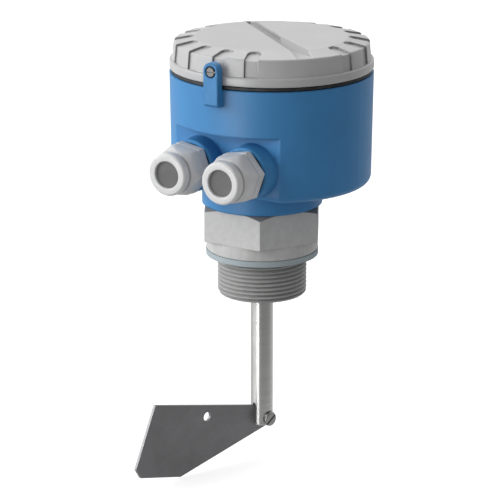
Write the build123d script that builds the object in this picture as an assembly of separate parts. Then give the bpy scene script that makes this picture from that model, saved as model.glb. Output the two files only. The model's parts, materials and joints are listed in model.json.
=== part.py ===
from build123d import *
import math
import os

# Rotary paddle level switch. Lengths are in millimetres and angles in degrees.
# The shaft axis is Z, z = 0 is the last full turn of the vessel thread, just
# under the flat gasket, and the two cable glands point along -Y.

# General clearances
SEAT = 0.02            # pressed or glued seats
RUNNING = 0.05         # turning fits
SLIP = 0.3             # pieces that only pass each other

# Vessel connection, a moulded plug with a G 1 1/2 parallel thread
THREAD_DIA = 47.8
THREAD_LENGTH = 24.7
THREAD_CHAMFER = 1.2
THREAD_RELIEF = 0.3    # from the last full turn up to the gasket
RELIEF_DEPTH = 1.6     # neck under the gasket, from the thread's crest
COLLAR_DIA = 59.6
COLLAR_HEIGHT = 7.2
COLLAR_EDGE = 0.8
HEX_ACROSS_FLATS = 60.0
HEX_HEIGHT = 18.3
HEX_CHAMFER = 1.4
SPIGOT_DIA = 44.0
SPIGOT_RISE = 8.2      # above the housing floor
MIDDLE_BORE_DIA = 18.0
GASKET_THICKNESS = 3.0
GASKET_DIA = 60.0
NECK_SEAL_WIRE = 2.4
NECK_SEAL_DIA = 52.0
RING_NUT_WALL = 5.95       # out from the spigot
RING_NUT_HEIGHT = 6.8
RING_NUT_SLOTS = 6
RING_NUT_SLOT_WIDTH = 6.0
RING_NUT_SLOT_DEPTH = 3.0

# Shaft, its two sealed ball bearings and the lip seal
SHAFT_DIA = 12.0
SHAFT_BELOW = 97.0
SHAFT_ABOVE_SPIGOT = 11.2
SHAFT_CHAMFER = 0.6
BEARING_DIA = 28.0
BEARING_WIDTH = 8.0
BEARING_RING = 2.2
BEARING_SHIELD = 0.7
LIP_SEAL_HEIGHT = 7.0
LIP_SEAL_INSET = 0.5
LIP_SEAL_WEB = 1.6
CIRCLIP_THICKNESS = 1.0
CIRCLIP_DEPTH = 0.7
CIRCLIP_WIDTH = 2.2
CIRCLIP_OPENING = 40.0

# Paddle and its clamp screw
PADDLE_AZIMUTH = -13.4     # from -Y towards +X
PADDLE_TILT = 14.25        # above level, as pictured
PADDLE_THICKNESS = 1.5
PADDLE_NOSE_RADIUS = 6.3
PADDLE_TOP_LENGTH = 82.8
PADDLE_LENGTH = 88.5
PADDLE_WIDTH = 39.2
PADDLE_TIP_DROP = 34.7     # from the top edge to the outer corner
PADDLE_CORNER_CUT = 4.5
PADDLE_HEEL = 54.9         # where the slanting lower edge meets the bottom edge
PADDLE_HOLE_DIA = 5.0
PADDLE_HOLE_REACH = 43.0
PADDLE_SLOT_CLEARANCE = 0.05
FORK_DEPTH = 12.8
FORK_SCREW_UP = 3.6
CLAMP_SCREW_DIA = 4.0
CLAMP_HEAD_DIA = 8.0
CLAMP_HEAD_HEIGHT = 2.3
CLAMP_FLAT = 5.2           # spot face, from the shaft axis
CLAMP_SLOT_WIDTH = 1.0
CLAMP_SLOT_DEPTH = 1.2

# Housing pot, set back from the shaft axis
HOUSING_OFFSET = 9.3
HOUSING_DIA_TOP = 107.8
HOUSING_DRAFT = 0.8        # the pot's radius is this much less at its bottom
HOUSING_HEIGHT = 59.1
HOUSING_WALL = 3.6
HOUSING_FLOOR = 4.0
HOUSING_EDGE_RADIUS = 4.0
HOUSING_INSIDE_RADIUS = 2.5
NECK_DIA = 64.0
NECK_HEIGHT = 9.8
FLAT_SETBACK = 33.8        # flat wall for the glands, from the shaft axis
FLAT_HEIGHT = 34.7         # above the housing's underside
RIM_WALL = 3.8
RIM_BORE_DEPTH = 8.0
GLAND_PITCH = 32.4
GLAND_RISE = 16.5          # above the housing's underside
GLAND_BOSS_DIA = 27.6
GLAND_BOSS_LENGTH = 10.2
GLAND_BOSS_DRAFT = 0.3
GLAND_BOSS_EDGE = 0.6
POST_INSET = 8.5           # post axis, in from the pot's inner wall
POST_ANGLES = (40, 140, 190, 350)
POST_DIA = 9.0
POST_HEIGHT = 13.7
POST_HOLE_DIA = 2.6
BOARD_BOSS_DIA = 6.0
BOARD_BOSS_INSET = 3.4     # boss axis, in from the pot's inner wall
BOARD_BOSS_ANGLE = 62.5    # below the X axis, on both sides

# Lock lug and its screw
LUG_WIDTH = 8.5
LUG_THICKNESS = 4.6
LUG_BELOW_RIM = 8.4
LUG_ABOVE_RIM = 14.6
LUG_GAP = 0.6
LUG_SCREW_DOWN = 4.8       # screw axis below the lug's top
LUG_COUNTERBORE_DIA = 6.3
LUG_COUNTERBORE_DEPTH = 2.3
LOCK_HEAD_DIA = 5.2
LOCK_HEAD_HEIGHT = 2.6
LOCK_SHANK_DIA = 3.0
LOCK_SLOT_WIDTH = 0.8
LOCK_SLOT_DEPTH = 1.0

# Cover and its seal ring
COVER_SEAL_THICKNESS = 2.3
COVER_SEAL_RECESS = 0.8
FLANGE_HEIGHT = 4.7
FLANGE_EDGE = 0.6
TIER_INSET = 1.4           # tier wall, in from the flange's edge
TIER_DRAFT = 0.6
TIER_HEIGHT = 9.4
TIER_EDGE = 1.0
CROWN_DIA = 80.0
CROWN_RISE = 2.0
COVER_WALL = 3.0
SKIRT_DEPTH = 6.0
SKIRT_CLEARANCE = 0.7
SKIRT_WALL = 3.0
GRIP_WIDTH = 7.3
GRIP_LENGTH = 12.1         # inner end of a grip recess, in from the tier wall
GRIP_DEPTH = 1.4
GRIP_PITCH = 20
GRIP_BLANKS = (40, 60, 220, 240)
RIDGE_AZIMUTH = 50.0
RIDGE_END_INSET = 1.4      # in from the tier wall
RIDGE_RISE = 1.5
RIDGE_STEEP_FOOT = 2.9     # foot of the steep flank, from the middle line
RIDGE_CREST_MIDDLE = 0.6   # crest and gentle foot, at the cover's middle
RIDGE_FOOT_MIDDLE = 5.6
RIDGE_CREST_OUT = 2.0      # and at the crown's edge
RIDGE_FOOT_OUT = 10.4
RIDGE_ROOT = 0.8           # sunk into the cover

# Cable glands, M20, one pair
GLAND_THREAD_DIA = 20.0
GLAND_ACROSS_FLATS = 24.0
GLAND_TURN = 10.0
GLAND_WASHER = 1.2
GLAND_WASHER_DIA = 24.0
GLAND_HEX_LENGTH = 4.8
GLAND_NUT_GAP = 0.3
GLAND_NUT_HEX_LENGTH = 10.2
GLAND_HEX_CHAMFER = 1.0
GLAND_GROOVE_WIDTH = 1.4
GLAND_GROOVE_DIA = 20.6
GLAND_NOSE_DIA = 22.4
GLAND_NOSE_LENGTH = 4.6
GLAND_NOSE_EDGE = 1.4
GLAND_MOUTH_DIA = 14.2
GLAND_SPIGOT_DIA = 18.6
GLAND_SPIGOT_LENGTH = 9.0
GLAND_BORE_DIA = 12.0
GLAND_SEAT_DIA = 15.2
GLAND_CLAW_SLOTS = 8
GLAND_CLAW_SLOT = 1.0
GLAND_CLAW_LENGTH = 4.0
GLAND_INSERT_BORE = 9.0
GLAND_PLUG_THICKNESS = 1.8
GLAND_PLUG_RECESS = 1.6

# Chassis plate with the swing bush
CHASSIS_THICKNESS = 1.5
CHASSIS_GAP = 2.0          # from the pot's inner wall
CHASSIS_FRONT = 22.0       # straight front edge, from the shaft axis
CHASSIS_FLANGE_WIDTH = 54.0
CHASSIS_FLANGE_HEIGHT = 5.0
BUSH_DIA = 26.0
BUSH_BORE_DIA = 20.0
BUSH_FLANGE_DIA = 32.0
BUSH_FLANGE_HEIGHT = 7.0
SCREW_DIA = 3.0
SCREW_HEAD_DIA = 5.6
SCREW_HEAD_HEIGHT = 2.0
SCREW_HOLE_DIA = 3.4

# Swinging motor carrier, its limits and its return spring
SWING_RANGE = 10.0
CARRIER_THICKNESS = 2.0
CARRIER_DIA = 48.0
CARRIER_TAB_WIDTH = 9.0
CARRIER_TAB_REACH = 31.0
STOP_DIA = 3.0
STOP_RADIUS = 29.0         # from the shaft axis
STOP_GAP = 0.1
ARM_REACH = 39.0
ARM_WIDTH = 6.0
ARM_PIN_DIA = 3.0
ARM_PIN_RADIUS = 36.0      # from the shaft axis
ARM_PIN_LENGTH = 5.0
SPRING_WIRE = 1.0
SPRING_RADIUS = 18.0
SPRING_TURNS = 3.5
SPRING_LEG_ANGLE = 250.0

# Gear motor and the coupling to the shaft
GEARBOX_DIA = 44.0
GEARBOX_HEIGHT = 14.0
GEARBOX_EDGE = 1.0
EAR_THICKNESS = 1.2
EAR_RADIUS = 27.0          # from the shaft axis
OUTPUT_DIA = 6.0
OUTPUT_LENGTH = 9.4
OUTPUT_SUNK = 5.5
OUTPUT_FLAT = 2.4
MOTOR_DIA = 38.0
MOTOR_HEIGHT = 16.5
MOTOR_EDGE = 1.5
MOTOR_BOSS_DIA = 12.0
MOTOR_BOSS_HEIGHT = 1.6
MOTOR_SOCKET_WIDTH = 12.0
MOTOR_SOCKET_HEIGHT = 7.0
MOTOR_SOCKET_DEPTH = 4.0
COUPLING_DIA = 18.0
COUPLING_GAP = 1.5         # above the spigot
COUPLING_PIN_DIA = 3.0
COUPLING_PIN_UP = 5.0
COUPLING_HEADROOM = 1.0

# Two lever switches, one on each side of the arm pin
SWITCH_LENGTH = 19.8
SWITCH_DEPTH = 10.2
SWITCH_HEIGHT = 6.4
SWITCH_START = 27.2        # nearest end, from the shaft axis
SWITCH_STANDOFF = 1.5      # from the pressed lever to the case
SWITCH_HOLE_PITCH = 9.5
SWITCH_TAB_WIDTH = 1.2
SWITCH_TAB_LENGTH = 3.5
SWITCH_TABS = 3
LEVER_THICKNESS = 0.4
LEVER_HEIGHT = 3.6
LEVER_LENGTH = 17.0
LEVER_OPEN = 8.0
PIVOT_DIA = 1.6
PIVOT_PIN_DIA = 0.8
PIVOT_INSET = 1.8
PLUNGER_DIA = 2.0
PLUNGER_FROM_PIVOT = 4.0
PLUNGER_SUNK = 2.4
PLUNGER_TRAVEL = 0.5

# Terminal board above the wiring space
BOARD_THICKNESS = 1.6
BOARD_GAP = 0.7            # from the pot's inner wall
BOARD_CUT_DIA = 42.0
BOARD_BACK = 3.5           # rear edge in front of the shaft axis
BOARD_ABOVE_LEDGE = 6.0
STANDOFF_ACROSS_FLATS = 6.0
STANDOFF_X = 34.0
STANDOFF_Y = -8.0
STANDOFF_HOLE_DEPTH = 8.0
BOARD_SCREW_LENGTH = 5.0
BLOCK_POLES = 5
BLOCK_PITCH = 6.4
BLOCK_DEPTH = 9.2
BLOCK_HEIGHT = 9.0
BLOCK_INSET = 5.9          # in from the board's front edge
BLOCK_MOUTH = 3.6
BLOCK_SCREW_DIA = 3.4
BLOCK_SCREW_WELL = 5.0
BLOCK_SCREW_HEIGHT = 4.2
BLOCK_SLOT_WIDTH = 0.8
BLOCK_SLOT_DEPTH = 1.0
BLOCK_STEP = 2.5
BLOCK_MOUTH_DEPTH = 3.0
BLOCK_MOUTH_UP = 0.8
EARTH_X = 30.0
EARTH_Y = -16.0
EARTH_WASHER_DIA = 8.0
EARTH_WASHER_THICKNESS = 1.2
EARTH_HEAD_DIA = 6.6
EARTH_HEAD_HEIGHT = 2.6

# Heights that follow from the stack
COLLAR_Z = THREAD_RELIEF + GASKET_THICKNESS
THREAD_END_Z = COLLAR_Z - THREAD_LENGTH
HEX_Z = COLLAR_Z + COLLAR_HEIGHT
HEX_TOP_Z = HEX_Z + HEX_HEIGHT
HOUSING_Z = HEX_TOP_Z + NECK_HEIGHT
FLOOR_Z = HOUSING_Z + HOUSING_FLOOR
RIM_Z = HOUSING_Z + HOUSING_HEIGHT
LEDGE_Z = HOUSING_Z + FLAT_HEIGHT
INNER_LEDGE_Z = LEDGE_Z + HOUSING_WALL
GLAND_Z = HOUSING_Z + GLAND_RISE
FLANGE_Z = RIM_Z + COVER_SEAL_THICKNESS
FLANGE_TOP_Z = FLANGE_Z + FLANGE_HEIGHT
SHOULDER_Z = FLANGE_TOP_Z + TIER_HEIGHT
CROWN_Z = SHOULDER_Z + CROWN_RISE
SPIGOT_TOP_Z = FLOOR_Z + SPIGOT_RISE
SHAFT_TOP_Z = SPIGOT_TOP_Z + SHAFT_ABOVE_SPIGOT
LOWER_BEARING_Z = THREAD_END_Z + LIP_SEAL_INSET + LIP_SEAL_HEIGHT
LOWER_POCKET_Z = LOWER_BEARING_Z + BEARING_WIDTH
UPPER_BEARING_Z = SPIGOT_TOP_Z - 0.6 - CIRCLIP_THICKNESS - BEARING_WIDTH
FORK_SCREW_Z = -SHAFT_BELOW + FORK_SCREW_UP
CHASSIS_Z = FLOOR_Z + POST_HEIGHT
CHASSIS_TOP_Z = CHASSIS_Z + CHASSIS_THICKNESS
CARRIER_Z = CHASSIS_TOP_Z + BUSH_FLANGE_HEIGHT
GEARBOX_Z = CARRIER_Z + CARRIER_THICKNESS
MOTOR_Z = GEARBOX_Z + GEARBOX_HEIGHT
COUPLING_Z = SPIGOT_TOP_Z + COUPLING_GAP
COUPLING_TOP_Z = GEARBOX_Z - COUPLING_HEADROOM
BOARD_Z = INNER_LEDGE_Z + BOARD_ABOVE_LEDGE
BOARD_TOP_Z = BOARD_Z + BOARD_THICKNESS

# Plan sizes that follow
SHAFT_R = SHAFT_DIA / 2
BEARING_R = BEARING_DIA / 2
HOUSING_R = HOUSING_DIA_TOP / 2
BOTTOM_R = HOUSING_R - HOUSING_DRAFT
INNER_LOW_R = BOTTOM_R - HOUSING_WALL
INNER_HIGH_R = HOUSING_R - HOUSING_WALL
RIM_BORE_R = HOUSING_R - RIM_WALL
CHASSIS_R = INNER_LOW_R - CHASSIS_GAP
BOARD_R = INNER_LOW_R - BOARD_GAP
BLOCK_FRONT = BOARD_R - HOUSING_OFFSET - BLOCK_INSET
POST_R = INNER_LOW_R - POST_INSET
TIER_R = HOUSING_R - TIER_INSET
GRIP_REACH = TIER_R - GRIP_LENGTH
FLAT_Y = -FLAT_SETBACK
BOSS_FACE_Y = FLAT_Y - GLAND_BOSS_LENGTH
LUG_INNER_Y = HOUSING_OFFSET - HOUSING_R - LUG_GAP
LUG_OUTER_Y = LUG_INNER_Y - LUG_THICKNESS
LUG_TOP_Z = RIM_Z + LUG_ABOVE_RIM
LOCK_Z = LUG_TOP_Z - LUG_SCREW_DOWN
LOCK_SEAT_Y = LUG_OUTER_Y + LUG_COUNTERBORE_DEPTH
GLAND_HEX_Y = BOSS_FACE_Y - GLAND_WASHER
GLAND_NUT_Y = GLAND_HEX_Y - GLAND_HEX_LENGTH - GLAND_NUT_GAP
GLAND_GROOVE_Y = GLAND_NUT_Y - GLAND_NUT_HEX_LENGTH
GLAND_NOSE_Y = GLAND_GROOVE_Y - GLAND_GROOVE_WIDTH
GLAND_FACE_Y = GLAND_NOSE_Y - GLAND_NOSE_LENGTH
ARM_REST_ANGLE = 90 - SWING_RANGE / 2
LEVER_FACE = (ARM_PIN_RADIUS * math.cos(math.radians(ARM_REST_ANGLE))
              + ARM_PIN_DIA / 2 + RUNNING)
SWITCH_FACE = LEVER_FACE + LEVER_THICKNESS + SWITCH_STANDOFF
PIVOT_X = LEVER_FACE + PIVOT_DIA / 2
PIVOT_Y = SWITCH_START + PIVOT_INSET
PLUNGER_Y = PIVOT_Y + PLUNGER_FROM_PIVOT
SWITCH_MID_Z = CHASSIS_TOP_Z + SWITCH_HEIGHT / 2

UP = (Align.CENTER, Align.CENTER, Align.MIN)


def disc(radius, z_low, z_high, x=0.0, y=0.0):
    """A vertical cylinder between two heights."""
    return Pos(x, y, z_low) * Cylinder(radius, z_high - z_low, align=UP)


def ring(outer, inner, z_low, z_high, x=0.0, y=0.0):
    """A vertical tube between two heights."""
    return disc(outer, z_low, z_high, x, y) - disc(inner, z_low - 1, z_high + 1, x, y)


def block(x_low, x_high, y_low, y_high, z_low, z_high):
    """A box given by its limits."""
    size = (x_high - x_low, y_high - y_low, z_high - z_low)
    middle = ((x_low + x_high) / 2, (y_low + y_high) / 2, (z_low + z_high) / 2)
    return Pos(*middle) * Box(*size)


def turned(points, y=0.0):
    """Turn a closed outline of (radius, height) points about a vertical axis."""
    outline = make_face(Polyline(*points, close=True))
    return Pos(0, y, 0) * revolve(Plane.XZ * outline, axis=Axis.Z)


def cross_rod(radius, y_from, y_to, x, z):
    """A cylinder along Y; y_from is the larger value."""
    return Pos(x, y_from, z) * Rot(X=90) * Cylinder(radius, y_from - y_to, align=UP)


def hexagon(across_flats, height, first_corner=0.0):
    """A hexagonal prism standing on z = 0, with a corner at first_corner degrees."""
    corner = across_flats / math.sqrt(3)
    angles = [math.radians(first_corner + 60 * k) for k in range(6)]
    points = [(corner * math.cos(a), corner * math.sin(a)) for a in angles]
    return extrude(make_face(Polyline(*points, close=True)), height)


def at_azimuth(shape, azimuth):
    """Swing a shape that points along -Y round to an azimuth about Z."""
    return Rot(Z=azimuth) * shape


def polar(radius, angle, y=0.0):
    """Plan position at an angle from +X about a centre on the Y axis."""
    turn = math.radians(angle)
    return radius * math.cos(turn), y + radius * math.sin(turn)


# Vessel connection

def process_connection():
    corner = HEX_ACROSS_FLATS / math.sqrt(3)
    slope = math.tan(math.radians(30))
    face_radius = corner - HEX_CHAMFER / slope
    body = Pos(0, 0, HEX_Z) * hexagon(HEX_ACROSS_FLATS, HEX_HEIGHT)
    body &= turned([(0, HEX_Z), (corner, HEX_Z), (corner, HEX_TOP_Z - HEX_CHAMFER),
                    (face_radius, HEX_TOP_Z), (0, HEX_TOP_Z)])
    thread_r = THREAD_DIA / 2
    neck_r = thread_r - RELIEF_DEPTH
    body += turned([(0, THREAD_END_Z), (thread_r - THREAD_CHAMFER, THREAD_END_Z),
                    (thread_r, THREAD_END_Z + THREAD_CHAMFER), (thread_r, 0),
                    (neck_r, RELIEF_DEPTH), (neck_r, COLLAR_Z), (0, COLLAR_Z)])
    collar_r = COLLAR_DIA / 2
    body += turned([(0, COLLAR_Z), (collar_r - COLLAR_EDGE, COLLAR_Z),
                    (collar_r, COLLAR_Z + COLLAR_EDGE), (collar_r, HEX_Z), (0, HEX_Z)])
    body += disc(SPIGOT_DIA / 2, HEX_TOP_Z, SPIGOT_TOP_Z)
    body -= disc(MIDDLE_BORE_DIA / 2, THREAD_END_Z - 1, SPIGOT_TOP_Z + 1)
    body -= disc(BEARING_R, THREAD_END_Z - 1, LOWER_POCKET_Z)
    body -= disc(BEARING_R, UPPER_BEARING_Z, SPIGOT_TOP_Z + 1)
    clip_z = UPPER_BEARING_Z + BEARING_WIDTH
    body -= disc(BEARING_R + CIRCLIP_DEPTH, clip_z, clip_z + CIRCLIP_THICKNESS)
    groove_r = NECK_SEAL_WIRE / 2 + SEAT
    body -= ring(NECK_SEAL_DIA / 2 + groove_r, NECK_SEAL_DIA / 2 - groove_r,
                 HEX_TOP_Z - 2 * groove_r, HEX_TOP_Z)
    return body


def flat_gasket():
    return ring(GASKET_DIA / 2, THREAD_DIA / 2 + SLIP, THREAD_RELIEF, COLLAR_Z)


def neck_seal():
    return Pos(0, 0, HEX_TOP_Z - NECK_SEAL_WIRE / 2) * Torus(NECK_SEAL_DIA / 2, NECK_SEAL_WIRE / 2)


def ring_nut():
    bore = SPIGOT_DIA / 2 + RUNNING
    outer = bore + RING_NUT_WALL
    nut = ring(outer, bore, FLOOR_Z, FLOOR_Z + RING_NUT_HEIGHT)
    for k in range(RING_NUT_SLOTS):
        slot = block(-RING_NUT_SLOT_WIDTH / 2, RING_NUT_SLOT_WIDTH / 2,
                     -2 * outer, RING_NUT_SLOT_DEPTH - outer,
                     FLOOR_Z - 1, FLOOR_Z + RING_NUT_HEIGHT + 1)
        nut -= at_azimuth(slot, 360 / RING_NUT_SLOTS * k)
    return nut


# Shaft line

def bearing_outer(z):
    """Outer ring with its two shields, closed round the hidden balls."""
    inner_ring_r = SHAFT_R + SEAT + BEARING_RING
    outer = BEARING_R - SEAT
    body = ring(outer, inner_ring_r + RUNNING, z, z + BEARING_WIDTH)
    return body - ring(outer - BEARING_RING, inner_ring_r, z + BEARING_SHIELD,
                       z + BEARING_WIDTH - BEARING_SHIELD)


def bearing_inner(z):
    bore = SHAFT_R + SEAT
    return ring(bore + BEARING_RING, bore, z, z + BEARING_WIDTH)


def lip_seal():
    outer = BEARING_R - SEAT
    low = THREAD_END_Z + LIP_SEAL_INSET
    high = low + LIP_SEAL_HEIGHT
    lip = SHAFT_R + RUNNING
    web = low + LIP_SEAL_WEB
    return turned([(lip + 0.8, low), (outer, low), (outer, high), (outer - 1.6, high),
                   (outer - 1.6, web), (lip + 2.6, web), (lip + 2.2, high - 1.4),
                   (lip + 0.6, high - 1.0), (lip, high - 2.2), (lip + 1.0, web)])


def clip(inner, outer, z, azimuth):
    """Open spring ring lying in a groove."""
    opening = Rot(Z=azimuth) * block(-math.tan(math.radians(CIRCLIP_OPENING / 2)) * inner,
                                     math.tan(math.radians(CIRCLIP_OPENING / 2)) * inner,
                                     -outer - 1, 0, z - 1, z + CIRCLIP_THICKNESS + 1)
    return ring(outer, inner, z, z + CIRCLIP_THICKNESS) - opening


def bearing_circlip():
    outer = BEARING_R + CIRCLIP_DEPTH - SEAT
    return clip(outer - CIRCLIP_WIDTH, outer, UPPER_BEARING_Z + BEARING_WIDTH, 0)


def shaft_circlips():
    inner = SHAFT_R - CIRCLIP_DEPTH + SEAT
    below = UPPER_BEARING_Z - CIRCLIP_THICKNESS
    above = UPPER_BEARING_Z + BEARING_WIDTH
    return Compound([clip(inner, inner + CIRCLIP_WIDTH, z, 90) for z in (below, above)])


def paddle_frame(shape):
    """Stand a shape drawn along the level paddle (X out, Z up) in its place on the shaft."""
    return Pos(0, 0, FORK_SCREW_Z) * Rot(Z=PADDLE_AZIMUTH - 90) * shape


def shaft():
    body = disc(SHAFT_R, -SHAFT_BELOW, SHAFT_TOP_Z)
    body = chamfer(body.edges().filter_by(GeomType.CIRCLE), SHAFT_CHAMFER)
    slot_half = PADDLE_THICKNESS / 2 + PADDLE_SLOT_CLEARANCE
    slot = block(-SHAFT_R - 1, SHAFT_R + 1, -slot_half, slot_half,
                 -FORK_SCREW_UP - 1, FORK_DEPTH - FORK_SCREW_UP)
    slot = fillet(slot.edges().filter_by(Axis.X).group_by(Axis.Z)[-1], slot_half * 0.9)
    body -= paddle_frame(slot)
    body -= paddle_frame(cross_rod(CLAMP_SCREW_DIA / 2 + RUNNING, SHAFT_R + 1, -SHAFT_R - 1, 0, 0))
    head_r = CLAMP_HEAD_DIA / 2 + SLIP
    body -= paddle_frame(cross_rod(head_r, SHAFT_R + 1, CLAMP_FLAT, 0, 0))
    for z in (UPPER_BEARING_Z - CIRCLIP_THICKNESS, UPPER_BEARING_Z + BEARING_WIDTH):
        body -= ring(SHAFT_R + 1, SHAFT_R - CIRCLIP_DEPTH, z, z + CIRCLIP_THICKNESS)
    pin_z = COUPLING_Z + COUPLING_PIN_UP
    body -= cross_rod(COUPLING_PIN_DIA / 2 + SEAT, SHAFT_R + 1, -SHAFT_R - 1, 0, pin_z)
    return body


def paddle():
    """Flat blade with tangent edges round its nose, tilted up as pictured."""
    nose = PADDLE_NOSE_RADIUS
    bottom = nose - PADDLE_WIDTH
    reach = math.hypot(PADDLE_HEEL, bottom)
    heel_angle = math.atan2(bottom, PADDLE_HEEL)
    touch = heel_angle - math.acos(nose / reach)
    foot = (nose * math.cos(touch), nose * math.sin(touch))
    outline = make_face([
        Line((0, nose), (PADDLE_TOP_LENGTH, nose)),
        Line((PADDLE_TOP_LENGTH, nose), (PADDLE_LENGTH, nose - PADDLE_TIP_DROP)),
        Line((PADDLE_LENGTH, nose - PADDLE_TIP_DROP), (PADDLE_LENGTH - PADDLE_CORNER_CUT, bottom)),
        Line((PADDLE_LENGTH - PADDLE_CORNER_CUT, bottom), (PADDLE_HEEL, bottom)),
        Line((PADDLE_HEEL, bottom), foot),
        ThreePointArc(foot, (-nose, 0), (0, nose)),
    ])
    blade = extrude(Plane.XZ * outline, PADDLE_THICKNESS / 2, both=True)
    blade -= cross_rod(CLAMP_SCREW_DIA / 2 + RUNNING, PADDLE_THICKNESS, -PADDLE_THICKNESS, 0, 0)
    blade -= cross_rod(PADDLE_HOLE_DIA / 2, PADDLE_THICKNESS, -PADDLE_THICKNESS, PADDLE_HOLE_REACH, 0)
    return paddle_frame(Rot(Y=-PADDLE_TILT) * blade)


def paddle_screw():
    head_end = CLAMP_FLAT + CLAMP_HEAD_HEIGHT
    head = cross_rod(CLAMP_HEAD_DIA / 2, head_end, CLAMP_FLAT, 0, 0)
    head = fillet(head.edges().group_by(Axis.Y)[-1], CLAMP_HEAD_HEIGHT * 0.4)
    head -= block(-CLAMP_HEAD_DIA, CLAMP_HEAD_DIA, head_end - CLAMP_SLOT_DEPTH, head_end + 1,
                  -CLAMP_SLOT_WIDTH / 2, CLAMP_SLOT_WIDTH / 2)
    screw = head + cross_rod(CLAMP_SCREW_DIA / 2, CLAMP_FLAT, 0.5 - SHAFT_R, 0, 0)
    return paddle_frame(Rot(Y=35) * screw)


# Housing

def lug():
    half = LUG_WIDTH / 2
    low = RIM_Z - LUG_BELOW_RIM
    plate = block(-half, half, LUG_OUTER_Y, LUG_INNER_Y, low, LUG_TOP_Z - half)
    plate += cross_rod(half, LUG_INNER_Y, LUG_OUTER_Y, 0, LUG_TOP_Z - half)
    root = block(-half, half, LUG_INNER_Y - 1, LUG_INNER_Y + LUG_GAP + 2, low, RIM_Z)
    plate += root
    foot = plate.edges().filter_by(Axis.X).group_by(Axis.Z)[0].sort_by(Axis.Y)[0]
    plate = chamfer(foot, 1.2)
    plate -= cross_rod(LUG_COUNTERBORE_DIA / 2, LOCK_SEAT_Y, LUG_OUTER_Y - 1, 0, LOCK_Z)
    plate -= cross_rod(LOCK_SHANK_DIA / 2 + RUNNING, LUG_INNER_Y + 1, LUG_OUTER_Y - 1, 0, LOCK_Z)
    return plate


def housing_shell():
    pot = turned([(0, HOUSING_Z), (BOTTOM_R, HOUSING_Z), (HOUSING_R, RIM_Z), (0, RIM_Z)],
                 HOUSING_OFFSET)
    pot -= block(-HOUSING_R, HOUSING_R, -2 * HOUSING_R, FLAT_Y, HOUSING_Z - 1, LEDGE_Z)
    underside = pot.faces().sort_by(Axis.Z)[0]
    pot = fillet(underside.edges(), HOUSING_EDGE_RADIUS)
    pot += disc(NECK_DIA / 2, HEX_TOP_Z, HOUSING_Z + 1)
    cavity = turned([(0, FLOOR_Z), (INNER_LOW_R, FLOOR_Z), (INNER_HIGH_R, RIM_Z + 1),
                     (0, RIM_Z + 1)], HOUSING_OFFSET)
    cavity -= block(-HOUSING_R, HOUSING_R, -2 * HOUSING_R, FLAT_Y + HOUSING_WALL,
                    FLOOR_Z - 1, INNER_LEDGE_Z)
    cavity = fillet(cavity.faces().sort_by(Axis.Z)[0].edges(), HOUSING_INSIDE_RADIUS)
    cavity += disc(RIM_BORE_R, RIM_Z - RIM_BORE_DEPTH, RIM_Z + 1, 0, HOUSING_OFFSET)
    return pot - cavity


def gland_boss(x):
    wide = GLAND_BOSS_DIA / 2 + GLAND_BOSS_DRAFT
    profile = [(0, 0), (wide, 0), (GLAND_BOSS_DIA / 2, GLAND_BOSS_LENGTH - GLAND_BOSS_EDGE),
               (GLAND_BOSS_DIA / 2 - GLAND_BOSS_EDGE, GLAND_BOSS_LENGTH), (0, GLAND_BOSS_LENGTH)]
    return Pos(x, FLAT_Y, GLAND_Z) * Rot(X=90) * turned(profile)


def post_positions():
    return [polar(POST_R, a, HOUSING_OFFSET) for a in POST_ANGLES]


def board_boss_positions():
    x, y = polar(INNER_HIGH_R - BOARD_BOSS_INSET, -BOARD_BOSS_ANGLE, HOUSING_OFFSET)
    return [(side * x, y) for side in (-1, 1)]


def housing():
    body = housing_shell()
    for side in (-1, 1):
        body += gland_boss(side * GLAND_PITCH / 2)
    body += lug()
    for x, y in post_positions():
        body += disc(POST_DIA / 2, FLOOR_Z - 1, CHASSIS_Z, x, y)
        body -= disc(POST_HOLE_DIA / 2, FLOOR_Z + 2, CHASSIS_Z + 1, x, y)
    for x, y in board_boss_positions():
        body += disc(BOARD_BOSS_DIA / 2, INNER_LEDGE_Z, BOARD_Z, x, y)
        body -= disc(POST_HOLE_DIA / 2, INNER_LEDGE_Z, BOARD_Z + 1, x, y)
    for side in (-1, 1):
        body -= cross_rod(GLAND_THREAD_DIA / 2 + RUNNING, FLAT_Y + HOUSING_WALL + 1,
                          BOSS_FACE_Y - 1, side * GLAND_PITCH / 2, GLAND_Z)
    body -= disc(SPIGOT_DIA / 2 + RUNNING, HEX_TOP_Z - 1, FLOOR_Z + 1)
    return body


def lock_screw():
    head = cross_rod(LOCK_HEAD_DIA / 2, LOCK_SEAT_Y, LOCK_SEAT_Y - LOCK_HEAD_HEIGHT, 0, LOCK_Z)
    face = LOCK_SEAT_Y - LOCK_HEAD_HEIGHT
    head = chamfer(head.edges().group_by(Axis.Y)[0], 0.4)
    head -= block(-LOCK_HEAD_DIA, LOCK_HEAD_DIA, face - 1, face + LOCK_SLOT_DEPTH,
                  LOCK_Z - LOCK_SLOT_WIDTH / 2, LOCK_Z + LOCK_SLOT_WIDTH / 2)
    return head + cross_rod(LOCK_SHANK_DIA / 2, LUG_INNER_Y, LOCK_SEAT_Y, 0, LOCK_Z)


# Cover

def cover_profile(inset):
    """Outline of the cover's outside above the flange, moved inwards by an inset."""
    tier_r = TIER_R - inset
    top_r = tier_r - TIER_DRAFT
    return [(0, FLANGE_TOP_Z), (tier_r, FLANGE_TOP_Z), (top_r, SHOULDER_Z - inset - TIER_EDGE),
            (top_r - TIER_EDGE, SHOULDER_Z - inset), (CROWN_DIA / 2, CROWN_Z - inset),
            (0, CROWN_Z - inset)]


def grip_azimuths():
    return [a for a in range(0, 360, GRIP_PITCH) if a not in GRIP_BLANKS]


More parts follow.
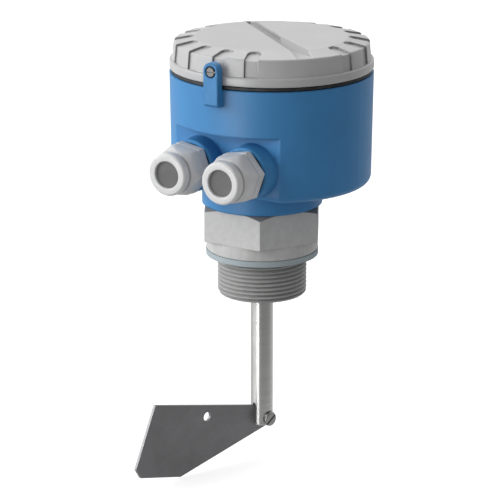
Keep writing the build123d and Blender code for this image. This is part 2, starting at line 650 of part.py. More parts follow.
def grip_cutters():
    """Round-ended prisms that give the grip recesses their outline."""
    half = GRIP_WIDTH / 2
    slot = block(-half, half, -HOUSING_R, -GRIP_REACH - half, FLANGE_TOP_Z, CROWN_Z + 5)
    slot += disc(half, FLANGE_TOP_Z, CROWN_Z + 5, 0, -GRIP_REACH - half)
    return [Pos(0, HOUSING_OFFSET, 0) * at_azimuth(slot, a) for a in grip_azimuths()]


def ridge_section(distance, level, crest, foot):
    """Cut through the ridge at a distance from the cover's middle: one flank steep, one gentle."""
    low = level - RIDGE_ROOT
    outline = [(-RIDGE_STEEP_FOOT, low), (foot, low), (foot, level), (crest, level + RIDGE_RISE),
               (-RIDGE_STEEP_FOOT, level)]
    return Pos(0, -distance, 0) * (Plane.XZ * make_face(Polyline(*outline, close=True)))


def ridge_half():
    """Half of the ridge across the cover, level on the crown and then falling with it."""
    crown_r = CROWN_DIA / 2
    end_r = TIER_R - RIDGE_END_INSET
    middle = ridge_section(0, CROWN_Z, RIDGE_CREST_MIDDLE, RIDGE_FOOT_MIDDLE)
    edge = ridge_section(crown_r, CROWN_Z, RIDGE_CREST_OUT, RIDGE_FOOT_OUT)
    end = ridge_section(end_r, SHOULDER_Z, RIDGE_CREST_OUT, RIDGE_FOOT_OUT)
    return loft([middle, edge], ruled=True) + loft([edge, end], ruled=True)


def cover():
    hub = HOUSING_OFFSET
    body = turned(cover_profile(0), hub)
    flange_edge = HOUSING_R - FLANGE_EDGE
    body += turned([(0, FLANGE_Z), (flange_edge, FLANGE_Z), (HOUSING_R, FLANGE_Z + FLANGE_EDGE),
                    (HOUSING_R, FLANGE_TOP_Z - FLANGE_EDGE), (flange_edge, FLANGE_TOP_Z),
                    (0, FLANGE_TOP_Z)], hub)
    for half_turn in (0, 180):
        bar = at_azimuth(ridge_half(), RIDGE_AZIMUTH + half_turn)
        body += (Pos(0, hub, 0) * bar) & turned(cover_profile(-RIDGE_RISE), hub)
    core = turned(cover_profile(GRIP_DEPTH), hub)
    for cutter in grip_cutters():
        body -= cutter - core
    skirt_r = RIM_BORE_R - SKIRT_CLEARANCE
    body += disc(skirt_r, RIM_Z - SKIRT_DEPTH, FLANGE_Z, 0, hub)
    hollow_r = skirt_r - SKIRT_WALL
    roof_z = SHOULDER_Z - COVER_WALL
    body -= turned([(0, RIM_Z - SKIRT_DEPTH - 1), (hollow_r, RIM_Z - SKIRT_DEPTH - 1),
                    (hollow_r, roof_z - 2), (hollow_r - 2, roof_z), (0, roof_z)], hub)
    return body


def cover_seal():
    outer = HOUSING_R - COVER_SEAL_RECESS
    band = ring(outer, RIM_BORE_R, RIM_Z, FLANGE_Z, 0, HOUSING_OFFSET)
    return chamfer(band.edges().sort_by(SortBy.LENGTH)[-2:], COVER_SEAL_THICKNESS * 0.25)


# Cable glands, drawn along +Z from the boss face and then laid over

def lay_gland(shape, side):
    return Pos(side * GLAND_PITCH / 2, BOSS_FACE_Y, GLAND_Z) * Rot(X=90) * Rot(Z=side * GLAND_TURN) * shape


def gland_hex(low, high, front_chamfer):
    corner = GLAND_ACROSS_FLATS / math.sqrt(3)
    prism = Pos(0, 0, low) * hexagon(GLAND_ACROSS_FLATS, high - low)
    cone = turned([(0, low), (corner, low), (corner, high - front_chamfer),
                   (corner - front_chamfer * 2, high), (0, high)])
    return prism & cone


def gland_washer(side):
    return lay_gland(ring(GLAND_WASHER_DIA / 2, GLAND_THREAD_DIA / 2 + RUNNING, 0, GLAND_WASHER), side)


def gland_body(side):
    hex_end = GLAND_WASHER + GLAND_HEX_LENGTH
    spigot_end = hex_end + GLAND_SPIGOT_LENGTH
    body = gland_hex(GLAND_WASHER, hex_end, 0.4)
    body += disc(GLAND_THREAD_DIA / 2, -GLAND_BOSS_LENGTH - HOUSING_WALL, GLAND_WASHER)
    body += disc(GLAND_SPIGOT_DIA / 2, hex_end, spigot_end)
    body -= disc(GLAND_BORE_DIA / 2, -GLAND_BOSS_LENGTH - HOUSING_WALL - 1, spigot_end + 1)
    body -= disc(GLAND_SEAT_DIA / 2, hex_end, spigot_end + 1)
    for k in range(GLAND_CLAW_SLOTS):
        slot = block(GLAND_SEAT_DIA / 2 - 1, GLAND_SPIGOT_DIA, -GLAND_CLAW_SLOT / 2,
                     GLAND_CLAW_SLOT / 2, spigot_end - GLAND_CLAW_LENGTH, spigot_end + 1)
        body -= Rot(Z=360 / GLAND_CLAW_SLOTS * k) * slot
    return lay_gland(body, side)


def gland_nut(side):
    start = BOSS_FACE_Y - GLAND_NUT_Y
    groove = BOSS_FACE_Y - GLAND_GROOVE_Y
    nose = BOSS_FACE_Y - GLAND_NOSE_Y
    face = BOSS_FACE_Y - GLAND_FACE_Y
    spigot_end = GLAND_WASHER + GLAND_HEX_LENGTH + GLAND_SPIGOT_LENGTH
    nose_r = GLAND_NOSE_DIA / 2
    body = gland_hex(start, groove, GLAND_HEX_CHAMFER)
    body += disc(GLAND_GROOVE_DIA / 2, groove, nose)
    body += turned([(0, nose), (nose_r, nose), (nose_r, face - GLAND_NOSE_EDGE),
                    (nose_r - GLAND_NOSE_EDGE, face), (0, face)])
    thread = GLAND_SPIGOT_DIA / 2 + RUNNING
    mouth = GLAND_MOUTH_DIA / 2
    taper = spigot_end + SLIP
    body -= turned([(0, start - 1), (thread, start - 1), (thread, taper),
                    (mouth, taper + thread - mouth), (mouth, face + 1), (0, face + 1)])
    return lay_gland(body, side)


def gland_insert(side):
    low = GLAND_WASHER + GLAND_HEX_LENGTH
    high = low + GLAND_SPIGOT_LENGTH
    outer = GLAND_SEAT_DIA / 2 - SEAT
    return lay_gland(ring(outer, GLAND_INSERT_BORE / 2, low, high), side)


def gland_plug(side):
    face = BOSS_FACE_Y - GLAND_FACE_Y
    head_r = GLAND_MOUTH_DIA / 2 - RUNNING
    head_top = face - GLAND_PLUG_RECESS
    insert_low = GLAND_WASHER + GLAND_HEX_LENGTH
    insert_top = insert_low + GLAND_SPIGOT_LENGTH
    head = disc(head_r, head_top - GLAND_PLUG_THICKNESS, head_top)
    stem = disc(GLAND_INSERT_BORE / 2 - SEAT, insert_low, head_top - GLAND_PLUG_THICKNESS)
    collar = disc(head_r, insert_top, insert_top + 0.8)
    return lay_gland(head + stem + collar, side)


# Chassis

def standoff_positions():
    return [(side * STANDOFF_X, STANDOFF_Y) for side in (-1, 1)]


def stop_angles():
    half = math.degrees(math.asin((CARRIER_TAB_WIDTH / 2 + STOP_DIA / 2 + STOP_GAP) / STOP_RADIUS))
    return 180 - half, 180 + half + SWING_RANGE


def switch_hole_positions(side):
    middle = SWITCH_START + SWITCH_LENGTH / 2
    x = side * (SWITCH_FACE + SWITCH_DEPTH * 0.7)
    return [(x, middle + step * SWITCH_HOLE_PITCH / 2) for step in (-1, 1)]


def chassis_plate():
    body = disc(CHASSIS_R, CHASSIS_Z, CHASSIS_TOP_Z, 0, HOUSING_OFFSET)
    body -= block(-CHASSIS_R, CHASSIS_R, -CHASSIS_R, -CHASSIS_FRONT, CHASSIS_Z - 1, CARRIER_Z)
    half = CHASSIS_FLANGE_WIDTH / 2
    body += block(-half, half, -CHASSIS_FRONT, CHASSIS_THICKNESS - CHASSIS_FRONT, CHASSIS_Z,
                  CHASSIS_TOP_Z + CHASSIS_FLANGE_HEIGHT)
    body -= disc(BUSH_DIA / 2 + SEAT, CHASSIS_Z - 1, CHASSIS_TOP_Z + 1)
    holes = post_positions() + standoff_positions()
    for x, y in holes:
        body -= disc(SCREW_HOLE_DIA / 2, CHASSIS_Z - 1, CHASSIS_TOP_Z + 1, x, y)
    body -= disc(SCREW_DIA / 2 + SEAT, CHASSIS_Z - 1, CHASSIS_TOP_Z + 1, EARTH_X, EARTH_Y)
    for side in (-1, 1):
        for x, y in switch_hole_positions(side):
            body -= disc(1.0 + SEAT, CHASSIS_Z - 1, CHASSIS_TOP_Z + 1, x, y)
    for angle in stop_angles():
        x, y = polar(STOP_RADIUS, angle)
        body += disc(STOP_DIA / 2, CHASSIS_Z, GEARBOX_Z - SLIP, x, y)
    half_slot = SPRING_WIRE / 2 + SLIP
    section = Plane.XZ * (Pos(SPRING_RADIUS, (CHASSIS_Z + CHASSIS_TOP_Z) / 2)
                          * Rectangle(2 * half_slot, CHASSIS_THICKNESS + 2))
    arc = revolve(section, axis=Axis.Z, revolution_arc=SWING_RANGE)
    body -= Rot(Z=SPRING_LEG_ANGLE) * arc
    for angle in (SPRING_LEG_ANGLE, SPRING_LEG_ANGLE + SWING_RANGE):
        x, y = polar(SPRING_RADIUS, angle)
        body -= disc(half_slot, CHASSIS_Z - 1, CHASSIS_TOP_Z + 1, x, y)
    return body


def swing_bush():
    spigot = BUSH_DIA / 2
    flange = BUSH_FLANGE_DIA / 2
    top = GEARBOX_Z - 0.1
    return turned([(BUSH_BORE_DIA / 2, CHASSIS_Z), (spigot, CHASSIS_Z), (spigot, CHASSIS_TOP_Z),
                   (flange, CHASSIS_TOP_Z), (flange, CARRIER_Z), (spigot, CARRIER_Z),
                   (spigot, top), (BUSH_BORE_DIA / 2, top)])


def pan_screw(x, y, seat_z, depth, diameter=SCREW_DIA, head=SCREW_HEAD_DIA,
              height=SCREW_HEAD_HEIGHT):
    """A screw standing on its seat, with a cross slot in the head."""
    cap = disc(head / 2, seat_z, seat_z + height, x, y)
    cap = fillet(cap.edges().group_by(Axis.Z)[-1], height * 0.35)
    width = head * 0.16
    for along, across in ((head * 0.3, width / 2), (width / 2, head * 0.3)):
        cap -= block(x - along, x + along, y - across, y + across,
                     seat_z + height * 0.5, seat_z + height + 1)
    return cap + disc(diameter / 2, seat_z - depth, seat_z, x, y)


def chassis_screws():
    depth = POST_HEIGHT * 0.6
    return Compound([pan_screw(x, y, CHASSIS_TOP_Z, depth, POST_HOLE_DIA - 2 * SEAT)
                     for x, y in post_positions()])


# Motor carrier

def carrier_plate():
    body = disc(CARRIER_DIA / 2, CARRIER_Z, GEARBOX_Z)
    half = CARRIER_TAB_WIDTH / 2
    body += block(-CARRIER_TAB_REACH, CARRIER_TAB_REACH, -half, half, CARRIER_Z, GEARBOX_Z)
    arm = block(0, ARM_REACH, -ARM_WIDTH / 2, ARM_WIDTH / 2, CARRIER_Z, GEARBOX_Z)
    body += Rot(Z=ARM_REST_ANGLE) * arm
    x, y = polar(ARM_PIN_RADIUS, ARM_REST_ANGLE)
    body += disc(ARM_PIN_DIA / 2, CARRIER_Z - ARM_PIN_LENGTH, GEARBOX_Z, x, y)
    body -= disc(BUSH_DIA / 2 + RUNNING, CARRIER_Z - 1, GEARBOX_Z + 1)
    for side in (-1, 1):
        body -= disc(SCREW_DIA / 2 + SEAT, CARRIER_Z - 1, GEARBOX_Z + 1, side * EAR_RADIUS, 0)
    x, y = polar(SPRING_RADIUS, spring_top_angle())
    body -= disc(SPRING_WIRE / 2 + RUNNING, CARRIER_Z - 1, GEARBOX_Z - 0.5, x, y)
    return body


def spring_top_angle():
    return SPRING_LEG_ANGLE + 360 * SPRING_TURNS


def return_spring():
    """Coil round the bush with one leg down through the chassis and one up in the carrier."""
    wire = SPRING_WIRE / 2
    low = CHASSIS_TOP_Z + SLIP + wire
    high = CARRIER_Z - SLIP - wire
    path = Helix((high - low) / SPRING_TURNS, high - low, SPRING_RADIUS)
    start = path @ 0
    section = Plane(origin=start, z_dir=path % 0) * Circle(wire)
    coil = Pos(0, 0, low) * (Rot(Z=SPRING_LEG_ANGLE) * sweep(section, path=path))
    for angle, z, end in ((SPRING_LEG_ANGLE, low, CHASSIS_Z),
                          (spring_top_angle(), high, GEARBOX_Z - 1)):
        x, y = polar(SPRING_RADIUS, angle)
        coil += disc(wire, min(z, end), max(z, end), x, y)
        coil += Pos(x, y, z) * Sphere(wire)
    return coil


def gearbox():
    radius = GEARBOX_DIA / 2
    body = disc(radius, GEARBOX_Z, MOTOR_Z)
    body = chamfer(body.edges().group_by(Axis.Z)[-1], GEARBOX_EDGE)
    half = CARRIER_TAB_WIDTH / 2
    ears = block(-EAR_RADIUS, EAR_RADIUS, -half, half, GEARBOX_Z, GEARBOX_Z + EAR_THICKNESS)
    for side in (-1, 1):
        ears += disc(half, GEARBOX_Z, GEARBOX_Z + EAR_THICKNESS, side * EAR_RADIUS, 0)
    body += ears
    for side in (-1, 1):
        body -= disc(SCREW_HOLE_DIA / 2, GEARBOX_Z - 1, GEARBOX_Z + EAR_THICKNESS + 1,
                     side * EAR_RADIUS, 0)
    body -= disc(OUTPUT_DIA / 2 + RUNNING, GEARBOX_Z - 1, GEARBOX_Z + OUTPUT_SUNK + 0.2)
    return body


def gearbox_screws():
    seat = GEARBOX_Z + EAR_THICKNESS
    depth = EAR_THICKNESS + CARRIER_THICKNESS
    return Compound([pan_screw(side * EAR_RADIUS, 0, seat, depth) for side in (-1, 1)])


def output_flat(clearance):
    """The side cut away from the gearbox shaft, or the key left in its bore."""
    low = COUPLING_TOP_Z - OUTPUT_LENGTH
    return block(OUTPUT_FLAT + clearance, OUTPUT_DIA, -OUTPUT_DIA, OUTPUT_DIA, low, COUPLING_TOP_Z)


def output_shaft():
    low = GEARBOX_Z + OUTPUT_SUNK - OUTPUT_LENGTH
    return disc(OUTPUT_DIA / 2, low, GEARBOX_Z + OUTPUT_SUNK) - output_flat(0)


def motor():
    radius = MOTOR_DIA / 2
    top = MOTOR_Z + MOTOR_HEIGHT
    can = disc(radius, MOTOR_Z, top)
    can = fillet(can.edges().group_by(Axis.Z)[-1], MOTOR_EDGE)
    can += disc(MOTOR_BOSS_DIA / 2, top - 1, top + MOTOR_BOSS_HEIGHT)
    half = MOTOR_SOCKET_WIDTH / 2
    mid = MOTOR_Z + MOTOR_HEIGHT / 2
    socket = block(-half, half, 0, radius + MOTOR_SOCKET_DEPTH,
                   mid - MOTOR_SOCKET_HEIGHT / 2, mid + MOTOR_SOCKET_HEIGHT / 2)
    socket -= block(1 - half, half - 1, radius + 1, radius + MOTOR_SOCKET_DEPTH + 1,
                    mid + 1 - MOTOR_SOCKET_HEIGHT / 2, mid - 1 + MOTOR_SOCKET_HEIGHT / 2)
    return can + socket


def coupling():
    body = disc(COUPLING_DIA / 2, COUPLING_Z, COUPLING_TOP_Z)
    body = chamfer(body.edges().filter_by(GeomType.CIRCLE), 0.5)
    body -= disc(SHAFT_R + SEAT, COUPLING_Z - 1, SHAFT_TOP_Z + 0.1)
    bore = disc(OUTPUT_DIA / 2 + SEAT, SHAFT_TOP_Z, COUPLING_TOP_Z + 1)
    body -= bore - output_flat(RUNNING)
    body -= cross_rod(COUPLING_PIN_DIA / 2 + SEAT, COUPLING_DIA, -COUPLING_DIA, 0,
                      COUPLING_Z + COUPLING_PIN_UP)
    return body


def coupling_pin():
    half = COUPLING_DIA / 2 - SLIP
    return cross_rod(COUPLING_PIN_DIA / 2, half, -half, 0, COUPLING_Z + COUPLING_PIN_UP)


# Lever switches; the right one is drawn and the left one mirrored

def mirrored(shape, side):
    return shape if side > 0 else mirror(shape, about=Plane.YZ)


def switch_case(side):
    end = SWITCH_START + SWITCH_LENGTH
    top = CHASSIS_TOP_Z + SWITCH_HEIGHT
    body = block(SWITCH_FACE, SWITCH_FACE + SWITCH_DEPTH, SWITCH_START, end, CHASSIS_TOP_Z, top)
    cheek = (SWITCH_HEIGHT - LEVER_HEIGHT) / 2 - 0.2
    for low in (CHASSIS_TOP_Z, top - cheek):
        body += block(LEVER_FACE, SWITCH_FACE, SWITCH_START, PIVOT_Y + PIVOT_INSET, low, low + cheek)
    body -= disc(PIVOT_PIN_DIA / 2 + RUNNING, CHASSIS_TOP_Z - 1, top + 1, PIVOT_X, PIVOT_Y)
    body -= Pos(SWITCH_FACE - 1, PLUNGER_Y, SWITCH_MID_Z) * Rot(Y=90) * Cylinder(
        PLUNGER_DIA / 2 + RUNNING, PLUNGER_SUNK + 2, align=UP)
    tab_step = SWITCH_LENGTH / SWITCH_TABS
    for k in range(SWITCH_TABS):
        y = SWITCH_START + tab_step * (k + 0.5)
        body += block(SWITCH_FACE + SWITCH_DEPTH, SWITCH_FACE + SWITCH_DEPTH + SWITCH_TAB_LENGTH,
                      y - SWITCH_TAB_WIDTH / 2, y + SWITCH_TAB_WIDTH / 2,
                      SWITCH_MID_Z - 0.25, SWITCH_MID_Z + 0.25)
    for x, y in switch_hole_positions(1):
        body -= disc(1.1, CHASSIS_TOP_Z - 1, top + 1, x, y)
    return mirrored(body, side)


def switch_lever(side, opened):
    half = LEVER_HEIGHT / 2
    strip = block(LEVER_FACE, LEVER_FACE + LEVER_THICKNESS, PIVOT_Y, PIVOT_Y + LEVER_LENGTH,
                  SWITCH_MID_Z - half, SWITCH_MID_Z + half)
    strip += disc(PIVOT_DIA / 2, SWITCH_MID_Z - half, SWITCH_MID_Z + half, PIVOT_X, PIVOT_Y)
    pin = SWITCH_HEIGHT / 2 - SLIP
    strip += disc(PIVOT_PIN_DIA / 2, SWITCH_MID_Z - pin, SWITCH_MID_Z + pin, PIVOT_X, PIVOT_Y)
    turned_lever = Pos(PIVOT_X, PIVOT_Y, 0) * Rot(Z=opened) * Pos(-PIVOT_X, -PIVOT_Y, 0) * strip
    return mirrored(turned_lever, side)


def switch_plunger(side, travelled):
    start = LEVER_FACE + LEVER_THICKNESS + RUNNING
    length = SWITCH_FACE + PLUNGER_SUNK - start - PLUNGER_TRAVEL
    rod = Pos(start - travelled, PLUNGER_Y, SWITCH_MID_Z) * Rot(Y=90) * Cylinder(
        PLUNGER_DIA / 2, length, align=UP)
    return mirrored(rod, side)


def switch_screws():
    places = switch_hole_positions(-1) + switch_hole_positions(1)
    seat = CHASSIS_TOP_Z + SWITCH_HEIGHT
    depth = SWITCH_HEIGHT + CHASSIS_THICKNESS
    return Compound([pan_screw(x, y, seat, depth, 2.0, 3.6, 0.45) for x, y in places])


# Terminal board

def standoffs():
    posts = []
    for x, y in standoff_positions():
        post = Pos(x, y, CHASSIS_TOP_Z) * hexagon(STANDOFF_ACROSS_FLATS, BOARD_Z - CHASSIS_TOP_Z)
        post -= disc(POST_HOLE_DIA / 2, BOARD_Z - STANDOFF_HOLE_DEPTH, BOARD_Z + 1, x, y)
        post += disc(SCREW_DIA / 2, CHASSIS_Z, CHASSIS_TOP_Z, x, y)
        posts.append(post)
    return Compound(posts)


def terminal_board():
    body = disc(BOARD_R, BOARD_Z, BOARD_TOP_Z, 0, HOUSING_OFFSET)
    body -= block(-BOARD_R, BOARD_R, -BOARD_BACK, 2 * BOARD_R, BOARD_Z - 1, BOARD_TOP_Z + 1)
    body -= disc(BOARD_CUT_DIA / 2, BOARD_Z - 1, BOARD_TOP_Z + 1)
    for x, y in standoff_positions() + board_boss_positions():
        body -= disc(SCREW_HOLE_DIA / 2, BOARD_Z - 1, BOARD_TOP_Z + 1, x, y)
    return body


def board_screws():
    diameter = POST_HOLE_DIA - 2 * SEAT
    return Compound([pan_screw(x, y, BOARD_TOP_Z, BOARD_SCREW_LENGTH, diameter)
                     for x, y in standoff_positions() + board_boss_positions()])


def pole_positions():
    first = -(BLOCK_POLES - 1) / 2
    y = BLOCK_DEPTH * 0.45 - BLOCK_FRONT
    return [((first + k) * BLOCK_PITCH, y) for k in range(BLOCK_POLES)]


def terminal_block():
    half = BLOCK_POLES * BLOCK_PITCH / 2
    top = BOARD_TOP_Z + BLOCK_HEIGHT
    back = BLOCK_DEPTH - BLOCK_FRONT
    body = block(-half, half, -BLOCK_FRONT, back, BOARD_TOP_Z, top)
    body -= block(-half - 1, half + 1, back - BLOCK_STEP, back + 1, top - BLOCK_STEP, top + 1)
    for x, y in pole_positions():
        body -= disc(BLOCK_SCREW_DIA / 2 + SLIP, top - BLOCK_SCREW_WELL, top + 1, x, y)
        body -= block(x - BLOCK_MOUTH / 2, x + BLOCK_MOUTH / 2, -BLOCK_FRONT - 1,
                      BLOCK_MOUTH_DEPTH - BLOCK_FRONT, BOARD_TOP_Z + BLOCK_MOUTH_UP,
                      BOARD_TOP_Z + BLOCK_MOUTH_UP + BLOCK_MOUTH)
    return body


def terminal_screws():
    low = BOARD_TOP_Z + BLOCK_HEIGHT - BLOCK_SCREW_WELL
    high = low + BLOCK_SCREW_HEIGHT
    reach = BLOCK_SCREW_DIA
    slot = BLOCK_SLOT_WIDTH / 2
    screws = []
    for x, y in pole_positions():
        screw = disc(BLOCK_SCREW_DIA / 2, low, high, x, y)
        screw -= block(x - reach, x + reach, y - slot, y + slot, high - BLOCK_SLOT_DEPTH, high + 1)
        screws.append(screw)
    return Compound(screws)


def earth_terminal():
    washer_top = CHASSIS_TOP_Z + EARTH_WASHER_THICKNESS
    washer = ring(EARTH_WASHER_DIA / 2, SCREW_DIA / 2, CHASSIS_TOP_Z, washer_top, EARTH_X, EARTH_Y)
    screw = pan_screw(EARTH_X, EARTH_Y, washer_top, EARTH_WASHER_THICKNESS + CHASSIS_THICKNESS + 2,
                      SCREW_DIA, EARTH_HEAD_DIA, EARTH_HEAD_HEIGHT)
    return washer + screw


def all_nodes():
    nodes = {
        "housing": housing(),
        "cover": cover(),
        "cover_seal": cover_seal(),
        "cover_lock_screw": lock_screw(),
        "process_connection": process_connection(),
        "flat_gasket": flat_gasket(),
        "neck_seal": neck_seal(),
        "ring_nut": ring_nut(),
        "shaft": shaft(),
        "paddle": paddle(),
        "paddle_screw": paddle_screw(),
        "lower_bearing_outer": bearing_outer(LOWER_BEARING_Z),
        "lower_bearing_inner": bearing_inner(LOWER_BEARING_Z),
        "upper_bearing_outer": bearing_outer(UPPER_BEARING_Z),
        "upper_bearing_inner": bearing_inner(UPPER_BEARING_Z),
        "shaft_lip_seal": lip_seal(),
        "bearing_circlip": bearing_circlip(),
        "shaft_circlips": shaft_circlips(),
        "coupling": coupling(),
        "coupling_pin": coupling_pin(),
        "gearbox_output_shaft": output_shaft(),
        "chassis_plate": chassis_plate(),
        "chassis_screws": chassis_screws(),
        "swing_bush": swing_bush(),
        "carrier_plate": carrier_plate(),
        "return_spring": return_spring(),
        "gearbox": gearbox(),
        "gearbox_screws": gearbox_screws(),
        "motor": motor(),
        "switch_screws": switch_screws(),
        "board_standoffs": standoffs(),
        "terminal_board": terminal_board(),
        "board_screws": board_screws(),
        "terminal_block": terminal_block(),
        "terminal_screws": terminal_screws(),
        "earth_terminal": earth_terminal(),
    }
    for name, side, opened, travelled in (("right", 1, 0, 0), ("left", -1, LEVER_OPEN, PLUNGER_TRAVEL)):
        nodes[name + "_switch_case"] = switch_case(side)
        nodes[name + "_switch_lever"] = switch_lever(side, opened)
        nodes[name + "_switch_plunger"] = switch_plunger(side, travelled)
    for name, side in (("left", -1), ("right", 1)):
        nodes[name + "_gland_washer"] = gland_washer(side)
        nodes[name + "_gland_body"] = gland_body(side)
        nodes[name + "_gland_nut"] = gland_nut(side)
        nodes[name + "_gland_insert"] = gland_insert(side)
        nodes[name + "_gland_plug"] = gland_plug(side)
    return nodes


os.makedirs("parts", exist_ok=True)
for node_name, node_shape in all_nodes().items():
    export_step(node_shape, os.path.join("parts", node_name + ".step"))
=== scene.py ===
import json
import logging
import math
from dataclasses import dataclass, field
from enum import Enum
from typing import Sequence

import bpy
import numpy as np
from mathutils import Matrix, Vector


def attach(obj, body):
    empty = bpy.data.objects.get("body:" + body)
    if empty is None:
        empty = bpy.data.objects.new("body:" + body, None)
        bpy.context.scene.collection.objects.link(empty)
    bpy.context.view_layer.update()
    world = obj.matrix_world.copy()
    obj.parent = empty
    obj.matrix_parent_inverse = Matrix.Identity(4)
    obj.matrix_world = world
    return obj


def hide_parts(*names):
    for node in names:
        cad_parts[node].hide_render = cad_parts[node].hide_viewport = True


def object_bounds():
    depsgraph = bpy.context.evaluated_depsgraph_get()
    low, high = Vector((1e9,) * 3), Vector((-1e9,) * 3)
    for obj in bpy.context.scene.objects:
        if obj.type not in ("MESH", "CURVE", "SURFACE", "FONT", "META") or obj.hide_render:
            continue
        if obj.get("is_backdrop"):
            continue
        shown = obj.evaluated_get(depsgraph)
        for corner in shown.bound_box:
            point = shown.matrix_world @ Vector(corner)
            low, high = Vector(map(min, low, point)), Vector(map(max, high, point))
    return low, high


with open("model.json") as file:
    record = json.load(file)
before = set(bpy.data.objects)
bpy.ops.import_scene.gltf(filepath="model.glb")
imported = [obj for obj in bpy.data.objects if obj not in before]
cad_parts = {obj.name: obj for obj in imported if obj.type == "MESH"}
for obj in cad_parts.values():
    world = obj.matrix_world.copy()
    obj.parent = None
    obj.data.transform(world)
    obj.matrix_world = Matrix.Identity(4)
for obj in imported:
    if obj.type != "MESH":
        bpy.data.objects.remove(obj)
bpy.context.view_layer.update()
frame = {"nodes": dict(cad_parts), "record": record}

# Rotary paddle level switch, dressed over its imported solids. In the classes
# of its pieces, lengths are millimetres and angles degrees, and the meshes are
# written in metres. The shaft axis is Z, and the two cable glands point along -Y.

MM = 0.001
FULL_TURN = 2 * math.pi
SHARP_55 = 0.96                # height of a sharp 55 degree thread over its pitch
MOST = (0.3, 0.7)              # the range that holds most of a noise's values
WHITE = (1.0, 1.0, 1.0, 1.0)
LOG = logging.getLogger("level_switch")
Array = np.ndarray
Pair = tuple[float, float]
Triple = tuple[float, float, float]
Four = tuple[float, float, float, float]
Material = bpy.types.Material
Socket = bpy.types.NodeSocket


# Numpy surfaces

def smooth_step(value: Array) -> Array:
    """A ramp from 0 to 1 with level ends: three x squared less two x cubed, x held to 0..1."""
    held = np.clip(value, 0.0, 1.0)
    return held * held * (3.0 - 2.0 * held)


def soft_min(first: Array, second: Array, blend: float) -> Array:
    """The smaller of two: their mean less half the root of difference and blend squared."""
    return 0.5 * (first + second - np.sqrt((first - second) ** 2 + blend * blend))


def hexagon_flats(angle: Array, across_flats: float) -> Array:
    """Radius of a hexagon: half its width over the cosine from the nearest flat's middle."""
    from_middle = np.mod(angle, FULL_TURN / 6) - FULL_TURN / 12
    return across_flats / 2 / np.cos(from_middle)


def rounded(corners: Sequence[Triple], steps: int) -> Array:
    """Rounds the corners of a closed outline.

    Formula: each corner is replaced by the arc of its own radius that touches both
    neighbouring sides, as steps + 1 points at equal angles; radius 0 keeps the corner.

    Args:
        corners: (radius, height, fillet) of each corner in order.
        steps: pieces in each arc.

    Returns:
        An array of (radius, height) points.
    """
    spots = np.array([c[:2] for c in corners], float)
    points = []
    for k, (_, _, fillet) in enumerate(corners):
        here = spots[k]
        if fillet <= 0:
            points.append(here[None])
            continue
        back = spots[k - 1] - here
        ahead = spots[(k + 1) % len(spots)] - here
        back /= np.linalg.norm(back)
        ahead /= np.linalg.norm(ahead)
        half = 0.5 * math.acos(float(np.clip(back @ ahead, -1, 1)))
        middle = back + ahead
        centre = here + middle / np.linalg.norm(middle) * fillet / math.sin(half)
        start = here + back * fillet / math.tan(half) - centre
        end = here + ahead * fillet / math.tan(half) - centre
        turn = np.linspace(0, 1, steps + 1)[:, None]
        sweep = math.pi - 2 * half
        weights = np.sin((1 - turn) * sweep), np.sin(turn * sweep)
        arc = (weights[0] * start + weights[1] * end) / math.sin(sweep)
        points.append(centre + arc)
    return np.vstack(points)


@dataclass
class Shells:
    """Closed shells of one piece, gathered as vertex and face arrays."""

    points: list[Array] = field(default_factory=list)
    shade_paint: list[Array] = field(default_factory=list)
    quads: list[Array] = field(default_factory=list)
    triangles: list[Array] = field(default_factory=list)
    count: int = 0

    def add(self, grid: Array, closed_rows: bool = False, shade_paint: Array | None = None) -> None:
        """Adds a grid of points as one closed shell with its faces outwards.

        Formula: the faces join each point to the next row and column, round the last
        column to the first; rows that do not close end in a fan about the mean of the
        end row. All turn over if the sum of their corners' triple products is negative.

        Args:
            grid: (rows, columns, 3) points in millimetres.
            closed_rows: whether the last row joins the first.
            shade_paint: how much painted shade each point of the grid gets, none by default.
        """
        rows, columns = grid.shape[:2]
        flat = grid.reshape(-1, 3)
        row = np.arange(rows if closed_rows else rows - 1)
        row, column = (a.ravel() for a in np.meshgrid(row, np.arange(columns), indexing="ij"))
        below = (row + 1) % rows
        beside = (column + 1) % columns
        quads = np.stack([row * columns + column, row * columns + beside,
                          below * columns + beside, below * columns + column], 1)
        triangles = np.zeros((0, 3), int)
        if not closed_rows:
            flat = np.vstack([flat, grid[0].mean(0), grid[-1].mean(0)])
            here = np.arange(columns)
            there = (here + 1) % columns
            last = (rows - 1) * columns
            first_pole = np.full(columns, rows * columns)
            triangles = np.vstack([np.stack([first_pole, there, here], 1),
                                   np.stack([first_pole + 1, last + here, last + there], 1)])
        faces = np.vstack([quads[:, :3], quads[:, [0, 2, 3]], triangles])
        a, b, c = (flat[faces[:, k]] - flat.mean(0) for k in range(3))
        if (np.cross(a, b) * c).sum() < 0:
            quads = quads[:, ::-1]
            triangles = triangles[:, ::-1]
        self.points.append(flat)
        painted_shade = np.zeros(len(flat)) if shade_paint is None else shade_paint.ravel()
        self.shade_paint.append(np.resize(np.concatenate([painted_shade, [0.0, 0.0]]), len(flat)))
        self.quads.append(quads + self.count)
        self.triangles.append(triangles + self.count)
        self.count += len(flat)

    def build(self, name: str, crease: float) -> bpy.types.Object:
        """Writes the shells into a mesh object, smooth except at sharp edges.

        Args:
            name: the piece's name.
            crease: angle in degrees from which an edge is sharp.

        Returns:
            The new object, linked to the scene.
        """
        mesh = bpy.data.meshes.new(name)
        faces = np.vstack(self.quads).tolist() + np.vstack(self.triangles).tolist()
        mesh.from_pydata(np.vstack(self.points) * MM, [], faces)
        mesh.validate()
        mesh.shade_smooth()
        mesh.set_sharp_from_angle(angle=math.radians(crease))
        # Painted shade for each point, which the mouldings' materials read to darken their colour.
        painted_shade = mesh.attributes.new("shade_paint", "FLOAT", "POINT")
        painted_shade.data.foreach_set("value", np.concatenate(self.shade_paint).astype(np.float32))
        piece = bpy.data.objects.new(name, mesh)
        bpy.context.scene.collection.objects.link(piece)
        return piece


# Node materials

